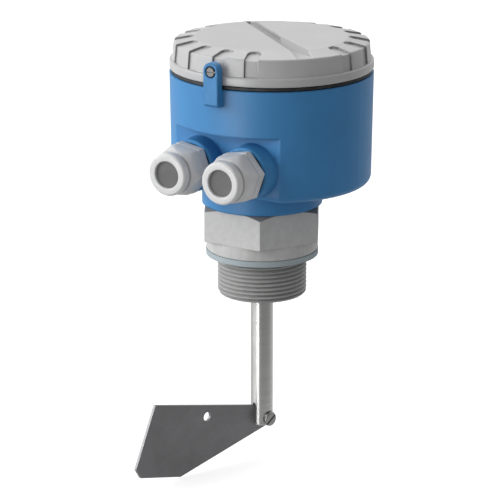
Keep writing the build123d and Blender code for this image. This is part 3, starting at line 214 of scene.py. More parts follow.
class Lay(Enum):
    """Which way a metal's working marks run."""

    TURNED = "rings round the shaft axis"
    ROLLED = "straight lines along the sheet"
    PLAIN = "no direction"


class Graph:
    """A node tree under construction."""

    def __init__(self, owner: bpy.types.ID) -> None:
        """Turns on a material's or a world's nodes and empties its tree.

        Args:
            owner: the material or world.
        """
        owner.use_nodes = True
        self.nodes = owner.node_tree.nodes
        self.links = owner.node_tree.links
        self.nodes.clear()
        self.places = self.add("ShaderNodeTexCoord", {}).outputs

    def add(self, kind: str, sockets: dict, **settings: object) -> bpy.types.Node:
        """Adds a node.

        Args:
            kind: the node's type.
            sockets: input name or number to constant, or to another node's output.
            settings: the node's own properties.

        Returns:
            The node.
        """
        node = self.nodes.new(kind)
        for name, value in settings.items():
            setattr(node, name, value)
        for socket, value in sockets.items():
            if isinstance(value, Socket):
                self.links.new(value, node.inputs[socket])
            else:
                node.inputs[socket].default_value = value
        return node

    def ramp(self, value: Socket, low: float, high: float, to_low: float = 0.0,
             to_high: float = 1.0, shape: str = "LINEAR") -> Socket:
        """Maps low..high to to_low..to_high and holds it there."""
        limits = {"From Min": low, "From Max": high, "To Min": to_low, "To Max": to_high}
        return self.add("ShaderNodeMapRange", {"Value": value} | limits,
                        interpolation_type=shape).outputs[0]

    def join(self, operation: str, first: Socket, second: object) -> Socket:
        """Works out a sum, a product or the like of two numbers."""
        return self.add("ShaderNodeMath", {0: first, 1: second}, operation=operation).outputs[0]

    def plus(self, first: Socket, second: Socket) -> Socket:
        """Sum of two numbers."""
        return self.join("ADD", first, second)

    def times(self, first: Socket, second: object) -> Socket:
        """Product of two numbers."""
        return self.join("MULTIPLY", first, second)

    def dot(self, first: Socket, second: object) -> Socket:
        """Dot product of two vectors."""
        return self.add("ShaderNodeVectorMath", {0: first, 1: second},
                        operation="DOT_PRODUCT").outputs["Value"]

    def choose(self, amount: Socket, first: Socket, second: Socket) -> Socket:
        """Mixes two shaders."""
        return self.add("ShaderNodeMixShader", {0: amount, 1: first, 2: second}).outputs[0]

    def mix(self, amount: Socket, first: object, second: object) -> Socket:
        """Mixes two colours."""
        return self.add("ShaderNodeMix", {0: amount, 6: first, 7: second},
                        data_type="RGBA").outputs[2]

    def scaled(self, per_mm: Triple) -> Socket:
        """Object coordinates in metres turned to pattern units per millimetre."""
        return self.add("ShaderNodeMapping", {"Vector": self.places["Object"], "Scale": tuple(
            value / MM for value in per_mm)}).outputs[0]

    def noise(self, per_mm: float | Triple, detail: float, rough: float) -> Socket:
        """Noise of a given fineness, one number or one for each axis."""
        each = per_mm if isinstance(per_mm, tuple) else (per_mm,) * 3
        return self.add("ShaderNodeTexNoise", {"Vector": self.scaled(each), "Scale": 1.0,
                                               "Detail": detail, "Roughness": rough}).outputs[0]

    def shaded(self, pattern: Socket, colour: Triple, dark: float, light: float,
               span: Pair = MOST) -> Socket:
        """A colour that goes from dark to light times itself as a pattern crosses a span."""
        return self.mix(self.ramp(pattern, *span), rgba(colour, dark), rgba(colour, light))

    def about(self, pattern: Socket, middle: float, swing: float) -> Socket:
        """A number that swings about its middle with a pattern."""
        return self.ramp(pattern, *MOST, middle - swing, middle + swing)

    def soft_edge(self, radius: float) -> Socket:
        """Normals rounded over the edges within a radius in millimetres."""
        return self.add("ShaderNodeBevel", {"Radius": radius * MM}, samples=4).outputs[0]

    def edge_mask(self, rounded_normal: Socket, gain: float = 4.0) -> Socket:
        """Nearness to an edge: one less the rounded and true normals' dot product, by a gain."""
        true = self.add("ShaderNodeNewGeometry", {}).outputs["Normal"]
        return self.ramp(self.dot(rounded_normal, true), 1.0, 1.0 - 1.0 / gain)

    def bump(self, height: Socket, depth: float, normal: Socket) -> Socket:
        """A relief of a depth in millimetres over a normal."""
        return self.add("ShaderNodeBump", {"Height": height, "Strength": 1.0, "Normal": normal,
                                           "Distance": depth * MM}).outputs[0]


def rgba(colour: Triple, gain: float = 1.0) -> Four:
    """A colour with alpha, made lighter or darker by a gain."""
    return tuple(min(1.0, channel * gain) for channel in colour) + (1.0,)


@dataclass(frozen=True)
class Finish:
    """A surface of one colour; each kind fills in the shader in its own way."""

    colour: Triple

    def sockets(self, tree: Graph) -> dict:
        """The shader's inputs, built in a material's tree."""
        raise NotImplementedError

    def material(self, name: str) -> Material:
        """Builds the node material.

        Args:
            name: the material's name.

        Returns:
            The material.
        """
        material = bpy.data.materials.new(name)
        tree = Graph(material)
        shader = tree.add("ShaderNodeBsdfPrincipled", self.sockets(tree)).outputs[0]
        tree.add("ShaderNodeOutputMaterial", {"Surface": shader})
        return material


@dataclass(frozen=True)
class Moulding(Finish):
    """Moulded plastic: fine eroded grain, faint flow mottling, edges paler from wear and painted
    highlight, painted shade.
    """

    roughness: float = 0.45
    grain: float = 0.012
    grain_per_mm: float = 2.2
    mottle: float = 0.06
    mottle_per_mm: float = 0.06
    edge: float = 0.4
    edge_gain: float = 0.18
    specular: float = 0.45
    soften: float = 0.0
    painted_shade: float = 0.0

    def sockets(self, tree: Graph) -> dict:
        """Builds the nodes.

        Args:
            tree: the material's.

        Returns:
            The shader's inputs.
        """
        edge = tree.soft_edge(self.edge)
        shaped = tree.soft_edge(self.soften) if self.soften else edge
        cloud = tree.noise(self.mottle_per_mm, detail=4.0, rough=0.6)
        fine = tree.noise(self.grain_per_mm, detail=3.0, rough=0.6)
        base = tree.shaded(cloud, self.colour, 1 - self.mottle, 1 + self.mottle)
        # Paler edges: partly rubbed wear, partly painted highlight.
        worn_and_highlit = tree.times(tree.edge_mask(edge), tree.ramp(fine, *MOST, 0.5, 1.0))
        pale = tuple(min(1.0, channel * (1 + self.edge_gain) + 0.02) for channel in self.colour)
        colour = tree.mix(worn_and_highlit, base, rgba(pale))
        # Painted shade: the colour darkens in patches by the piece's shade attribute.
        if self.painted_shade:
            shade_amount = tree.add("ShaderNodeAttribute", {}, attribute_name="shade_paint").outputs["Fac"]
            patchy_shade = tree.times(shade_amount, tree.ramp(fine, 0.2, 0.8, 0.9, 1.0))
            colour = tree.mix(patchy_shade, colour, rgba(self.colour, 1 - self.painted_shade))
        roughness = tree.ramp(fine, 0.25, 0.75, self.roughness - 0.05, self.roughness + 0.05)
        cells = tree.add("ShaderNodeTexVoronoi", {"Vector": tree.scaled((self.grain_per_mm,) * 3),
                                                  "Scale": 1.0}, feature="SMOOTH_F1").outputs[0]
        height = tree.plus(tree.times(cells, 0.6), tree.times(fine, 0.4))
        return {"Base Color": colour, "Specular IOR Level": self.specular,
                "Roughness": tree.plus(roughness, tree.about(cloud, 0.0, 0.04)),
                "Normal": tree.bump(height, self.grain, shaped)}


@dataclass(frozen=True)
class Metal(Finish):
    """Bare or plated metal with its working marks, faint stains and bright edges from wear and
    painted highlight.
    """

    roughness: float = 0.3
    lay: Lay = Lay.PLAIN
    marks: float = 0.004
    marks_per_mm: float = 5.0
    stain: float = 0.12
    metallic: float = 1.0
    edge: float = 0.2
    edge_gain: float = 0.35
    stretch: float = 0.0

    def sockets(self, tree: Graph) -> dict:
        """Builds the nodes.

        Args:
            tree: the material's.

        Returns:
            The shader's inputs.
        """
        edge = tree.soft_edge(self.edge)
        fine = self.marks_per_mm
        spread = {Lay.TURNED: (0.02, 0.02, fine), Lay.ROLLED: (fine * 0.02, fine * 0.02, fine),
                  Lay.PLAIN: (fine, fine, fine)}[self.lay]
        lines = tree.noise(spread, detail=4.0, rough=0.65)
        cloud = tree.noise(0.09, detail=4.0, rough=0.6)
        base = tree.shaded(cloud, self.colour, 1 - self.stain, 1 + self.stain)
        base = tree.mix(tree.ramp(lines, 0.35, 0.7, 0.0, 0.25), base, rgba(self.colour, 0.72))
        # Brighter edges: partly rubbed wear, partly painted highlight.
        bright = tree.mix(tree.edge_mask(edge), base, rgba(self.colour, 1 + self.edge_gain))
        roughness = tree.plus(tree.about(lines, self.roughness, 0.07),
                             tree.ramp(cloud, *MOST, -0.03, 0.05))
        sockets = {"Base Color": bright, "Metallic": self.metallic, "Roughness": roughness,
                   "Normal": tree.bump(lines, self.marks, edge)}
        if self.stretch:
            round_axis = tree.add("ShaderNodeTangent", {}, direction_type="RADIAL", axis="Z")
            sockets |= {"Anisotropic": self.stretch, "Anisotropic Rotation": 0.25,
                        "Tangent": round_axis.outputs[0]}
        return sockets


@dataclass(frozen=True)
class Rubber(Finish):
    """Dull elastomer with a fine bloom."""

    roughness: float = 0.6
    bloom: float = 0.03

    def sockets(self, tree: Graph) -> dict:
        """Builds the nodes.

        Args:
            tree: the material's.

        Returns:
            The shader's inputs.
        """
        edge = tree.soft_edge(0.25)
        cloud = tree.noise(0.15, detail=5.0, rough=0.65)
        fine = tree.noise(4.0, detail=2.0, rough=0.5)
        dusty = tuple(channel + self.bloom for channel in self.colour)
        colour = tree.mix(tree.ramp(cloud, 0.45, 0.75), rgba(self.colour), rgba(dusty))
        return {"Base Color": colour, "Specular IOR Level": 0.35,
                "Roughness": tree.about(fine, self.roughness, 0.08),
                "Normal": tree.bump(fine, 0.008, edge)}


@dataclass(frozen=True)
class FibreSheet(Finish):
    """Pressed fibre gasket: short matted fibres in a pale binder."""

    def sockets(self, tree: Graph) -> dict:
        """Builds the nodes.

        Args:
            tree: the material's.

        Returns:
            The shader's inputs.
        """
        edge = tree.soft_edge(0.3)
        matted = tree.noise((2.5, 0.8, 3.5), detail=5.0, rough=0.7)
        flecks = tree.noise((0.9, 3.0, 3.0), detail=3.0, rough=0.6)
        base = tree.shaded(matted, self.colour, 0.86, 1.08, (0.35, 0.65))
        fleck = tree.ramp(flecks, 0.6, 0.72, 0.0, 0.5)
        return {"Base Color": tree.mix(fleck, base, rgba(self.colour, 0.6)),
                "Roughness": tree.ramp(matted, *MOST, 0.75, 0.9), "Specular IOR Level": 0.25,
                "Normal": tree.bump(tree.plus(matted, flecks), 0.04, edge)}


@dataclass(frozen=True)
class Laminate(Finish):
    """Printed circuit laminate: solder resist over weave and conductor tracks."""

    def sockets(self, tree: Graph) -> dict:
        """Builds the nodes.

        Args:
            tree: the material's.

        Returns:
            The shader's inputs.
        """
        edge = tree.soft_edge(0.15)
        where = {"Vector": tree.places["Object"], "Scale": (1 / MM,) * 3,
                 "Location": (0.4, 0.7, 0.0)}
        shifted = tree.add("ShaderNodeMapping", where).outputs[0]
        black = (0.0, 0.0, 0.0, 1.0)
        tracks = tree.add("ShaderNodeTexBrick", {
            "Vector": shifted, "Scale": 0.22, "Mortar Size": 0.035, "Mortar Smooth": 0.05,
            "Brick Width": 1.7, "Row Height": 0.55, "Color1": black, "Color2": black,
            "Mortar": WHITE}).outputs[0]
        weave = tree.noise((3.0, 0.3, 0.3), detail=2.0, rough=0.5)
        base = tree.shaded(weave, self.colour, 0.85, 1.1)
        copper = rgba(self.colour, 2.0)
        return {"Base Color": tree.mix(tree.times(tracks, 0.8), base, copper),
                "Roughness": tree.ramp(weave, *MOST, 0.25, 0.34),
                "Normal": tree.bump(tracks, 0.03, edge)}


FINISHES: dict[str, Finish] = {
    "blue_plastic": Moulding((0.045, 0.215, 0.47), roughness=0.48, grain=0.012, mottle=0.05,
                             specular=0.3, soften=1.5),
    # The cover's and the plug's mouldings darken by their painted shade attribute at these
    # strengths.
    "grey_plastic": Moulding((0.45, 0.45, 0.452), roughness=0.36, grain=0.01, painted_shade=0.62),
    "grey_nylon": Moulding((0.49, 0.49, 0.487), roughness=0.48, grain=0.014, mottle=0.07,
                           mottle_per_mm=0.3, painted_shade=0.8),
    "gland_plastic": Moulding((0.62, 0.62, 0.625), roughness=0.36, grain=0.008, mottle=0.03,
                              edge_gain=0.25, edge=0.6),
    "black_rubber": Rubber((0.02, 0.02, 0.022)),
    "dark_plug": Rubber((0.1, 0.1, 0.1), roughness=0.5),
    "fibre_gasket": FibreSheet((0.38, 0.44, 0.465)),
    "stainless": Metal((0.45, 0.448, 0.44), roughness=0.32, lay=Lay.TURNED, marks=0.0004,
                       marks_per_mm=0.35, stretch=0.9, stain=0.03, edge=0.6),
    # The large edge gains of the screws and the paddle sheet paint highlights on their edges.
    "stainless_screw": Metal((0.3, 0.3, 0.297), roughness=0.42, edge_gain=1.2, edge=0.15),
    "dull_screw": Metal((0.13, 0.13, 0.128), roughness=0.36, edge_gain=2.5, edge=0.12),
    "stainless_sheet": Metal((0.18, 0.18, 0.185), roughness=0.4, lay=Lay.ROLLED, metallic=0.85,
                             edge_gain=1.6, edge=0.35),
    "bearing_steel": Metal((0.6, 0.6, 0.61), roughness=0.22, lay=Lay.TURNED),
    "spring_steel": Metal((0.42, 0.42, 0.43), roughness=0.3),
    "aluminium": Metal((0.74, 0.75, 0.76), roughness=0.28, lay=Lay.TURNED),
    "zinc_sheet": Metal((0.6, 0.61, 0.6), roughness=0.38, marks=0.006, marks_per_mm=1.2,
                        stain=0.18),
    "zinc_screws": Metal((0.66, 0.66, 0.62), roughness=0.3),
    "zinc_casting": Metal((0.45, 0.46, 0.47), roughness=0.55, marks=0.02, marks_per_mm=3.0),
    "motor_can": Metal((0.4, 0.405, 0.41), roughness=0.36, marks=0.001, stain=0.08),
    "white_acetal": Moulding((0.82, 0.81, 0.77), roughness=0.35, grain=0.004, mottle=0.02),
    "brass": Metal((0.72, 0.52, 0.22), roughness=0.28),
    "board_laminate": Laminate((0.02, 0.12, 0.045)),
    "terminal_plastic": Moulding((0.06, 0.3, 0.16), roughness=0.4),
    "switch_plastic": Moulding((0.03, 0.03, 0.032), roughness=0.4, edge_gain=1.0),
    "red_plastic": Moulding((0.55, 0.03, 0.03), roughness=0.3, grain=0.003),
}

# Screws that the photograph shows in a tone of their own
SCREW_FINISHES = {"cover_lock_screw": "dull_screw", "paddle_screw": "stainless_screw"}


class Wardrobe:
    """The finishes as Blender materials, each made once."""

    def __init__(self) -> None:
        """Starts with nothing made."""
        self.made: dict[str, Material] = {}

    def material(self, slot: str) -> Material:
        """The material of a slot of the record."""
        if slot not in self.made:
            self.made[slot] = FINISHES[slot].material(slot)
        return self.made[slot]

    def dress_node(self, node: str, slot: str) -> None:
        """Gives a carried solid its finish.

        Args:
            node: the solid's node.
            slot: the finish.
        """
        solid = frame["nodes"][node]
        solid.data.materials.clear()
        solid.data.materials.append(self.material(slot))
        LOG.info("solid %s: %s", node, slot)

    def dress_piece(self, piece: bpy.types.Object, slot: str, body: str, *nodes: str) -> None:
        """Gives a new piece its finish, its body and the solids that it stands for.

        Args:
            piece: the new object.
            slot: its finish.
            body: what it rides on.
            nodes: the solids that it replaces.
        """
        piece.data.materials.append(self.material(slot))
        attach(piece, body)
        if nodes:
            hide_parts(*nodes)
        LOG.info("piece %s: %s, %d faces", piece.name, slot, len(piece.data.polygons))


# Sub-assemblies

@dataclass
class Cover:
    """Screw cover: flange, drafted tier, cone and crown, grip recesses and one skew channel."""

    hub_y: float = 9.3
    flange_radius: float = 53.9
    flange_bottom: float = 100.0
    flange_top: float = 104.7
    flange_edge: float = 0.7
    tier_radius: float = 52.5
    tier_draft: float = 0.6
    tier_foot: float = 0.3
    shoulder: float = 114.1
    shoulder_edge: float = 1.2
    edge_end: float = 86.0
    cone_end: float = 50.9
    crown_radius: float = 40.0
    crown: float = 116.1
    hollow_radius: float = 46.4
    roof: float = 111.1
    roof_fillet: float = 2.0

    # Grip recesses, which are left out at the blank azimuths
    grip_width: float = 7.3
    grip_reach: float = 40.4
    grip_margin: float = 1.5
    grip_depth: float = 1.15
    grip_fillet: float = 0.2
    grip_wall: float = 0.45
    grip_pitch: float = 20.0
    grip_blanks: tuple[int, ...] = (40, 60, 220, 240)
    # Painted shade on the grip recesses' walls, strongest halfway down their mask.
    grip_wall_shade: float = 3.3

    # Rows: runs of (first radius, end, step), the cone's last (first radius, distance
    # from the arc, number), those on the arc and those on the wall
    row_runs: tuple[tuple[float, ...], ...] = ((0.3, 12.0, 0.3), (12.3, 39.9, 1.45),
                                               (40.0, 44.6, 0.2))
    cone_rows: tuple[float, float, int] = (45.0, 0.35, 8)
    arc_rows: int = 8
    wall_rows: int = 10

    # Columns: distances from a recess's middle at the spread radius, and how many where
    # there is none. They run parallel to the recess from the straight radius outwards
    grip_columns: tuple[float, ...] = (0.0, 1.2, 2.3, 2.9, 3.1, 3.22, 3.32, 3.42, 3.52, 3.64,
                                       3.8, 4.2, 5.0, 6.0, 7.2)
    plain_columns: int = 40
    spread_radius: float = 50.0
    straight_radius: float = 33.0
    straight_run: float = 5.0
    straight_edge: float = 3.2

    # Skew channel: each right rim and the line between them as (place, slope), and the
    # climbing wall's foot as (place, distance along the channel)
    channel_azimuth: float = 49.0
    channel_left: float = -2.2
    channel_back_right: Pair = (4.2, 0.012)
    channel_front_right: Pair = (4.7, 0.082)
    channel_turn: Pair = (15.5, 3.3)
    channel_blend: float = 2.4
    channel_foot: Pair = (0.6, 34.0)
    channel_foot_spread: float = 0.36
    channel_climb: float = 0.5
    channel_back_depth: float = 1.7
    channel_drop: float = 0.05
    channel_wall: float = 0.5
    # Painted shade in the channel as (behind the middle, on the climbing wall before it), and the
    # depth and run over which it comes in.
    channel_shade: Pair = (0.7, 0.62)
    shade_depth: float = 0.3
    shade_run: float = 0.6

    # Threaded skirt
    skirt_radius: float = 49.4
    skirt_end: float = 91.7
    skirt_edge: float = 0.3
    skirt_margin: float = 0.4
    skirt_lap: Pair = (0.5, 0.4)
    skirt_rows: int = 36
    skirt_columns: int = 240
    thread_pitch: float = 3.0
    thread_rise: float = 0.45
    thread_flat: float = 1.3
    thread_margins: Pair = (0.8, 1.2)
    thread_fade: float = 1.0

    def columns(self) -> tuple[Array, Array, Array]:
        """Places of the grid's columns: close at the recesses' walls, else even.

        Returns:
            Azimuth of each column's sector in radians, the offset from that sector's
            middle, and 1 where the sector has a recess.
        """
        side = np.array(self.grip_columns)
        close = np.arcsin(np.concatenate([-side[:0:-1], side]) / self.spread_radius)
        half = math.radians(self.grip_pitch / 2)
        close = np.concatenate([[-half], close])
        even = np.linspace(-half, half, self.plain_columns, endpoint=False)
        parts = []
        for azimuth in np.arange(0, 360, self.grip_pitch):
            recessed = azimuth not in self.grip_blanks
            offsets = close if recessed else even
            parts.append(np.stack([np.full(len(offsets), math.radians(azimuth)), offsets,
                                   np.full(len(offsets), float(recessed))]))
        sector, offset, recessed = np.concatenate(parts, 1)
        return sector, offset, recessed

    def top_rows(self) -> Array:
        """Outline of the outside from the crown's middle down to the tier's foot.

        Formula: a level crown, a cone, an arc and a drafted wall. The recess's own
        outline is the same moved inwards along its normal, with a small arc of its own
        where the two moved lines meet.

        Returns:
            Columns of radius, height, and the recess's radius and height.
        """
        edge, depth, small = self.shoulder_edge, self.grip_depth, self.grip_fillet
        start_radius = self.tier_radius - self.tier_draft - edge
        slope = (self.crown - self.shoulder) / (self.cone_end - self.crown_radius)
        lean = math.atan(slope)
        first, short, number = self.cone_rows
        radius = np.concatenate([*(np.arange(*run) for run in self.row_runs),
                                 np.linspace(first, start_radius - short, number)])
        height = self.crown - slope * np.maximum(radius - self.crown_radius, 0)
        flat = np.stack([radius, height, radius - depth * math.sin(lean),
                         height - depth * math.cos(lean)], 1)
        turn = np.linspace(lean, math.radians(self.edge_end), self.arc_rows)
        start_height = self.crown - slope * (start_radius - self.crown_radius)
        centre_height = start_height - edge * math.cos(lean)
        centre_radius = start_radius - edge * math.sin(lean)
        sine, cosine = np.sin(turn), np.cos(turn)
        reach = edge - depth - small
        arc = np.stack([centre_radius + edge * sine, centre_height + edge * cosine,
                        centre_radius + reach + small * sine,
                        centre_height + reach + small * cosine], 1)
        fall = np.linspace(0, 1, self.wall_rows + 1)[1:, None]
        wall_radius = arc[-1, :1] + (self.tier_radius - arc[-1, :1]) * fall
        wall_height = arc[-1, [1, 3]] + (self.flange_top - arc[-1, [1, 3]]) * fall
        wall = np.hstack([wall_radius, wall_height[:, :1], wall_radius - depth,
                          wall_height[:, 1:]])
        return np.concatenate([flat, arc, wall])

    def grip_mask(self, radius: Array, offset: Array) -> Array:
        """Where the grip recesses are, 1 inside and 0 outside.

        Formula: distance inside a round-ended slot, over the wall's width, through the
        smooth step. The slot's round end is centred half a width beyond its reach.

        Args:
            radius: of each point from the cover's axis.
            offset: angle of each point from its sector's middle.

        Returns:
            The mask.
        """
        half = self.grip_width / 2
        lateral = radius * np.sin(offset)
        along = radius * np.cos(offset) - (self.grip_reach + half)
        distance = np.where(along > 0, np.abs(lateral), np.hypot(lateral, along))
        return smooth_step((half - distance) / self.grip_wall)

    def channel_cut(self, x: Array, y: Array, height: Array) -> tuple[Array, Array]:
        """Depth of the skew channel below the outside, and the painted shade in it.

        Formula: the left wall is a steep step across the channel, and the right rim
        keeps to a straight line. Behind a slanting line near the middle, the channel
        has one depth and a steep right wall. Before it, the floor lies level with the
        shoulder, and the right wall climbs in a straight line from a foot that spreads
        outwards to the rim at the crown's level.

        Args:
            x: plan position from the cover's axis.
            y: the same.
            height: of the outside there.

        Returns:
            The depth in millimetres, 0 outside the channel, and the painted shade from 0 to 1:
            strong behind the middle, and before it on the climbing wall alone.
        """
        azimuth = math.radians(self.channel_azimuth)
        along = x * math.sin(azimuth) - y * math.cos(azimuth)
        across = x * math.cos(azimuth) + y * math.sin(azimuth)
        turn = self.channel_turn[0] - self.channel_turn[1] * across
        front = smooth_step((along - turn) / self.channel_blend + 0.5)
        left = smooth_step((across - self.channel_left) / self.channel_wall)
        rim = self.channel_back_right[0] + self.channel_back_right[1] * along
        behind = self.channel_back_depth * np.clip((rim - across) / self.channel_wall, 0, 1)
        rim = self.channel_front_right[0] + self.channel_front_right[1] * along
        foot = self.channel_foot[0] + self.channel_foot_spread * (along - self.channel_foot[1])
        foot = np.clip(foot, self.channel_left + self.channel_wall, rim - self.channel_climb)
        floor = self.shoulder - self.channel_drop
        climb = np.clip((across - foot) / (rim - foot), 0, 1)
        before = np.clip(height - (floor + (self.crown - floor) * climb), 0, None)
        depth = left * (behind + (before - behind) * front)
        # Painted shade: strong behind the middle, and before it only on the climbing wall.
        shade_behind, shade_before = self.channel_shade
        climbing = smooth_step((across - foot) / self.shade_run) * shade_before
        painted_shade = shade_behind + (climbing - shade_behind) * front
        return depth, smooth_step(depth / self.shade_depth) * painted_shade

    def outside(self) -> tuple[Array, Array, Array]:
        """The outside from the crown's middle down to the tier's foot.

        Formula: each point goes from its outline point to the recess's outline by the
        grip mask, and down by the channel's depth.

        Returns:
            The grid of points from the cover's axis, the painted shade on them, and the last
            row's azimuths.
        """
        radius, height, low_radius, low_height = self.top_rows().T[..., None]
        sector, offset, recessed = self.columns()
        lateral = self.spread_radius * np.sin(offset)
        inside_sector = math.radians(self.grip_pitch / 2) - np.abs(offset)
        hold = recessed * smooth_step(inside_sector / math.radians(self.straight_edge))
        hold = hold * smooth_step((radius - self.straight_radius) / self.straight_run)
        ratio = np.clip(lateral / np.maximum(radius, self.straight_radius), -1, 1)
        offset = offset + hold * (np.arcsin(ratio) - offset)
        azimuth = sector + offset
        mask = recessed * self.grip_mask(radius, offset)
        mask = mask * (radius > self.grip_reach - self.grip_margin)
        point_radius = radius + (low_radius - radius) * mask
        x, y = point_radius * np.sin(azimuth), -point_radius * np.cos(azimuth)
        cut, painted_shade = self.channel_cut(x, y, height)
        on_cone = radius < self.cone_end
        level = height + (low_height - height) * mask - cut * on_cone
        # Painted shade on the recess walls, strongest where the mask is half.
        wall_shade = np.minimum(1.0, self.grip_wall_shade * np.sqrt(mask * (1 - mask)))
        return np.stack([x, y, level], -1), np.maximum(painted_shade * on_cone, wall_shade), azimuth[-1:]

    def skirt(self) -> Array:
        """The threaded skirt, a closed ring whose outside waves as a one-start screw does.

        Returns:
            Its grid of points.
        """
        turn = np.linspace(0, FULL_TURN, self.skirt_columns, endpoint=False)[None]
        low, high = self.skirt_end, self.flange_bottom
        rows = np.linspace(high, low + self.skirt_margin, self.skirt_rows)[:, None]
        phase = rows / self.thread_pitch + turn / FULL_TURN
        wave = np.clip(np.cos(FULL_TURN * phase) * self.thread_flat, -1, 1) * 0.5 + 0.5
        ends = smooth_step((rows - low - self.thread_margins[0]) / self.thread_fade)
        ends = ends * smooth_step((high - self.thread_margins[1] - rows) / self.thread_fade)
        outside = self.skirt_radius + self.thread_rise * wave * ends
        (lap, rise), hollow = self.skirt_lap, self.hollow_radius
        inside = rounded([(self.skirt_radius, low, self.skirt_edge),
                          (hollow, low, self.skirt_edge), (hollow, high, 0),
                          (hollow + lap, high + rise, 0),
                          (self.skirt_radius - lap, high + rise, 0)], 4)
        reach = np.concatenate([outside, inside[:, :1] + 0 * turn])
        level = np.concatenate([rows, inside[:, 1:]]) + 0 * turn
        return np.stack([reach * np.sin(turn), self.hub_y - reach * np.cos(turn), level], -1)

    def piece(self, wardrobe: Wardrobe) -> None:
        """Builds the cover: one closed grid for its body and one for its threaded skirt.

        Args:
            wardrobe: maker of its finish.
        """
        top, painted_shade, azimuth = self.outside()
        top_level, low_level, hollow = self.flange_top, self.flange_bottom, self.hollow_radius
        under = rounded([(self.tier_radius + self.tier_foot, top_level, 0),
                         (self.flange_radius, top_level, self.flange_edge),
                         (self.flange_radius, low_level, self.flange_edge),
                         (hollow, low_level, 0), (hollow, self.roof, self.roof_fillet),
                         (0.0, self.roof, 0)], 4)[:-1]
        below = np.stack([under[:, :1] * np.sin(azimuth), -under[:, :1] * np.cos(azimuth),
                          under[:, 1:] + 0 * azimuth], -1)
        body = np.concatenate([top, below])
        body[..., 1] += self.hub_y
        shells = Shells()
        shells.add(body, shade_paint=np.concatenate([painted_shade, np.zeros(below.shape[:2])]))
        shells.add(self.skirt(), closed_rows=True)
        wardrobe.dress_piece(shells.build("cover_moulding", 40), "grey_plastic", "cover", "cover")


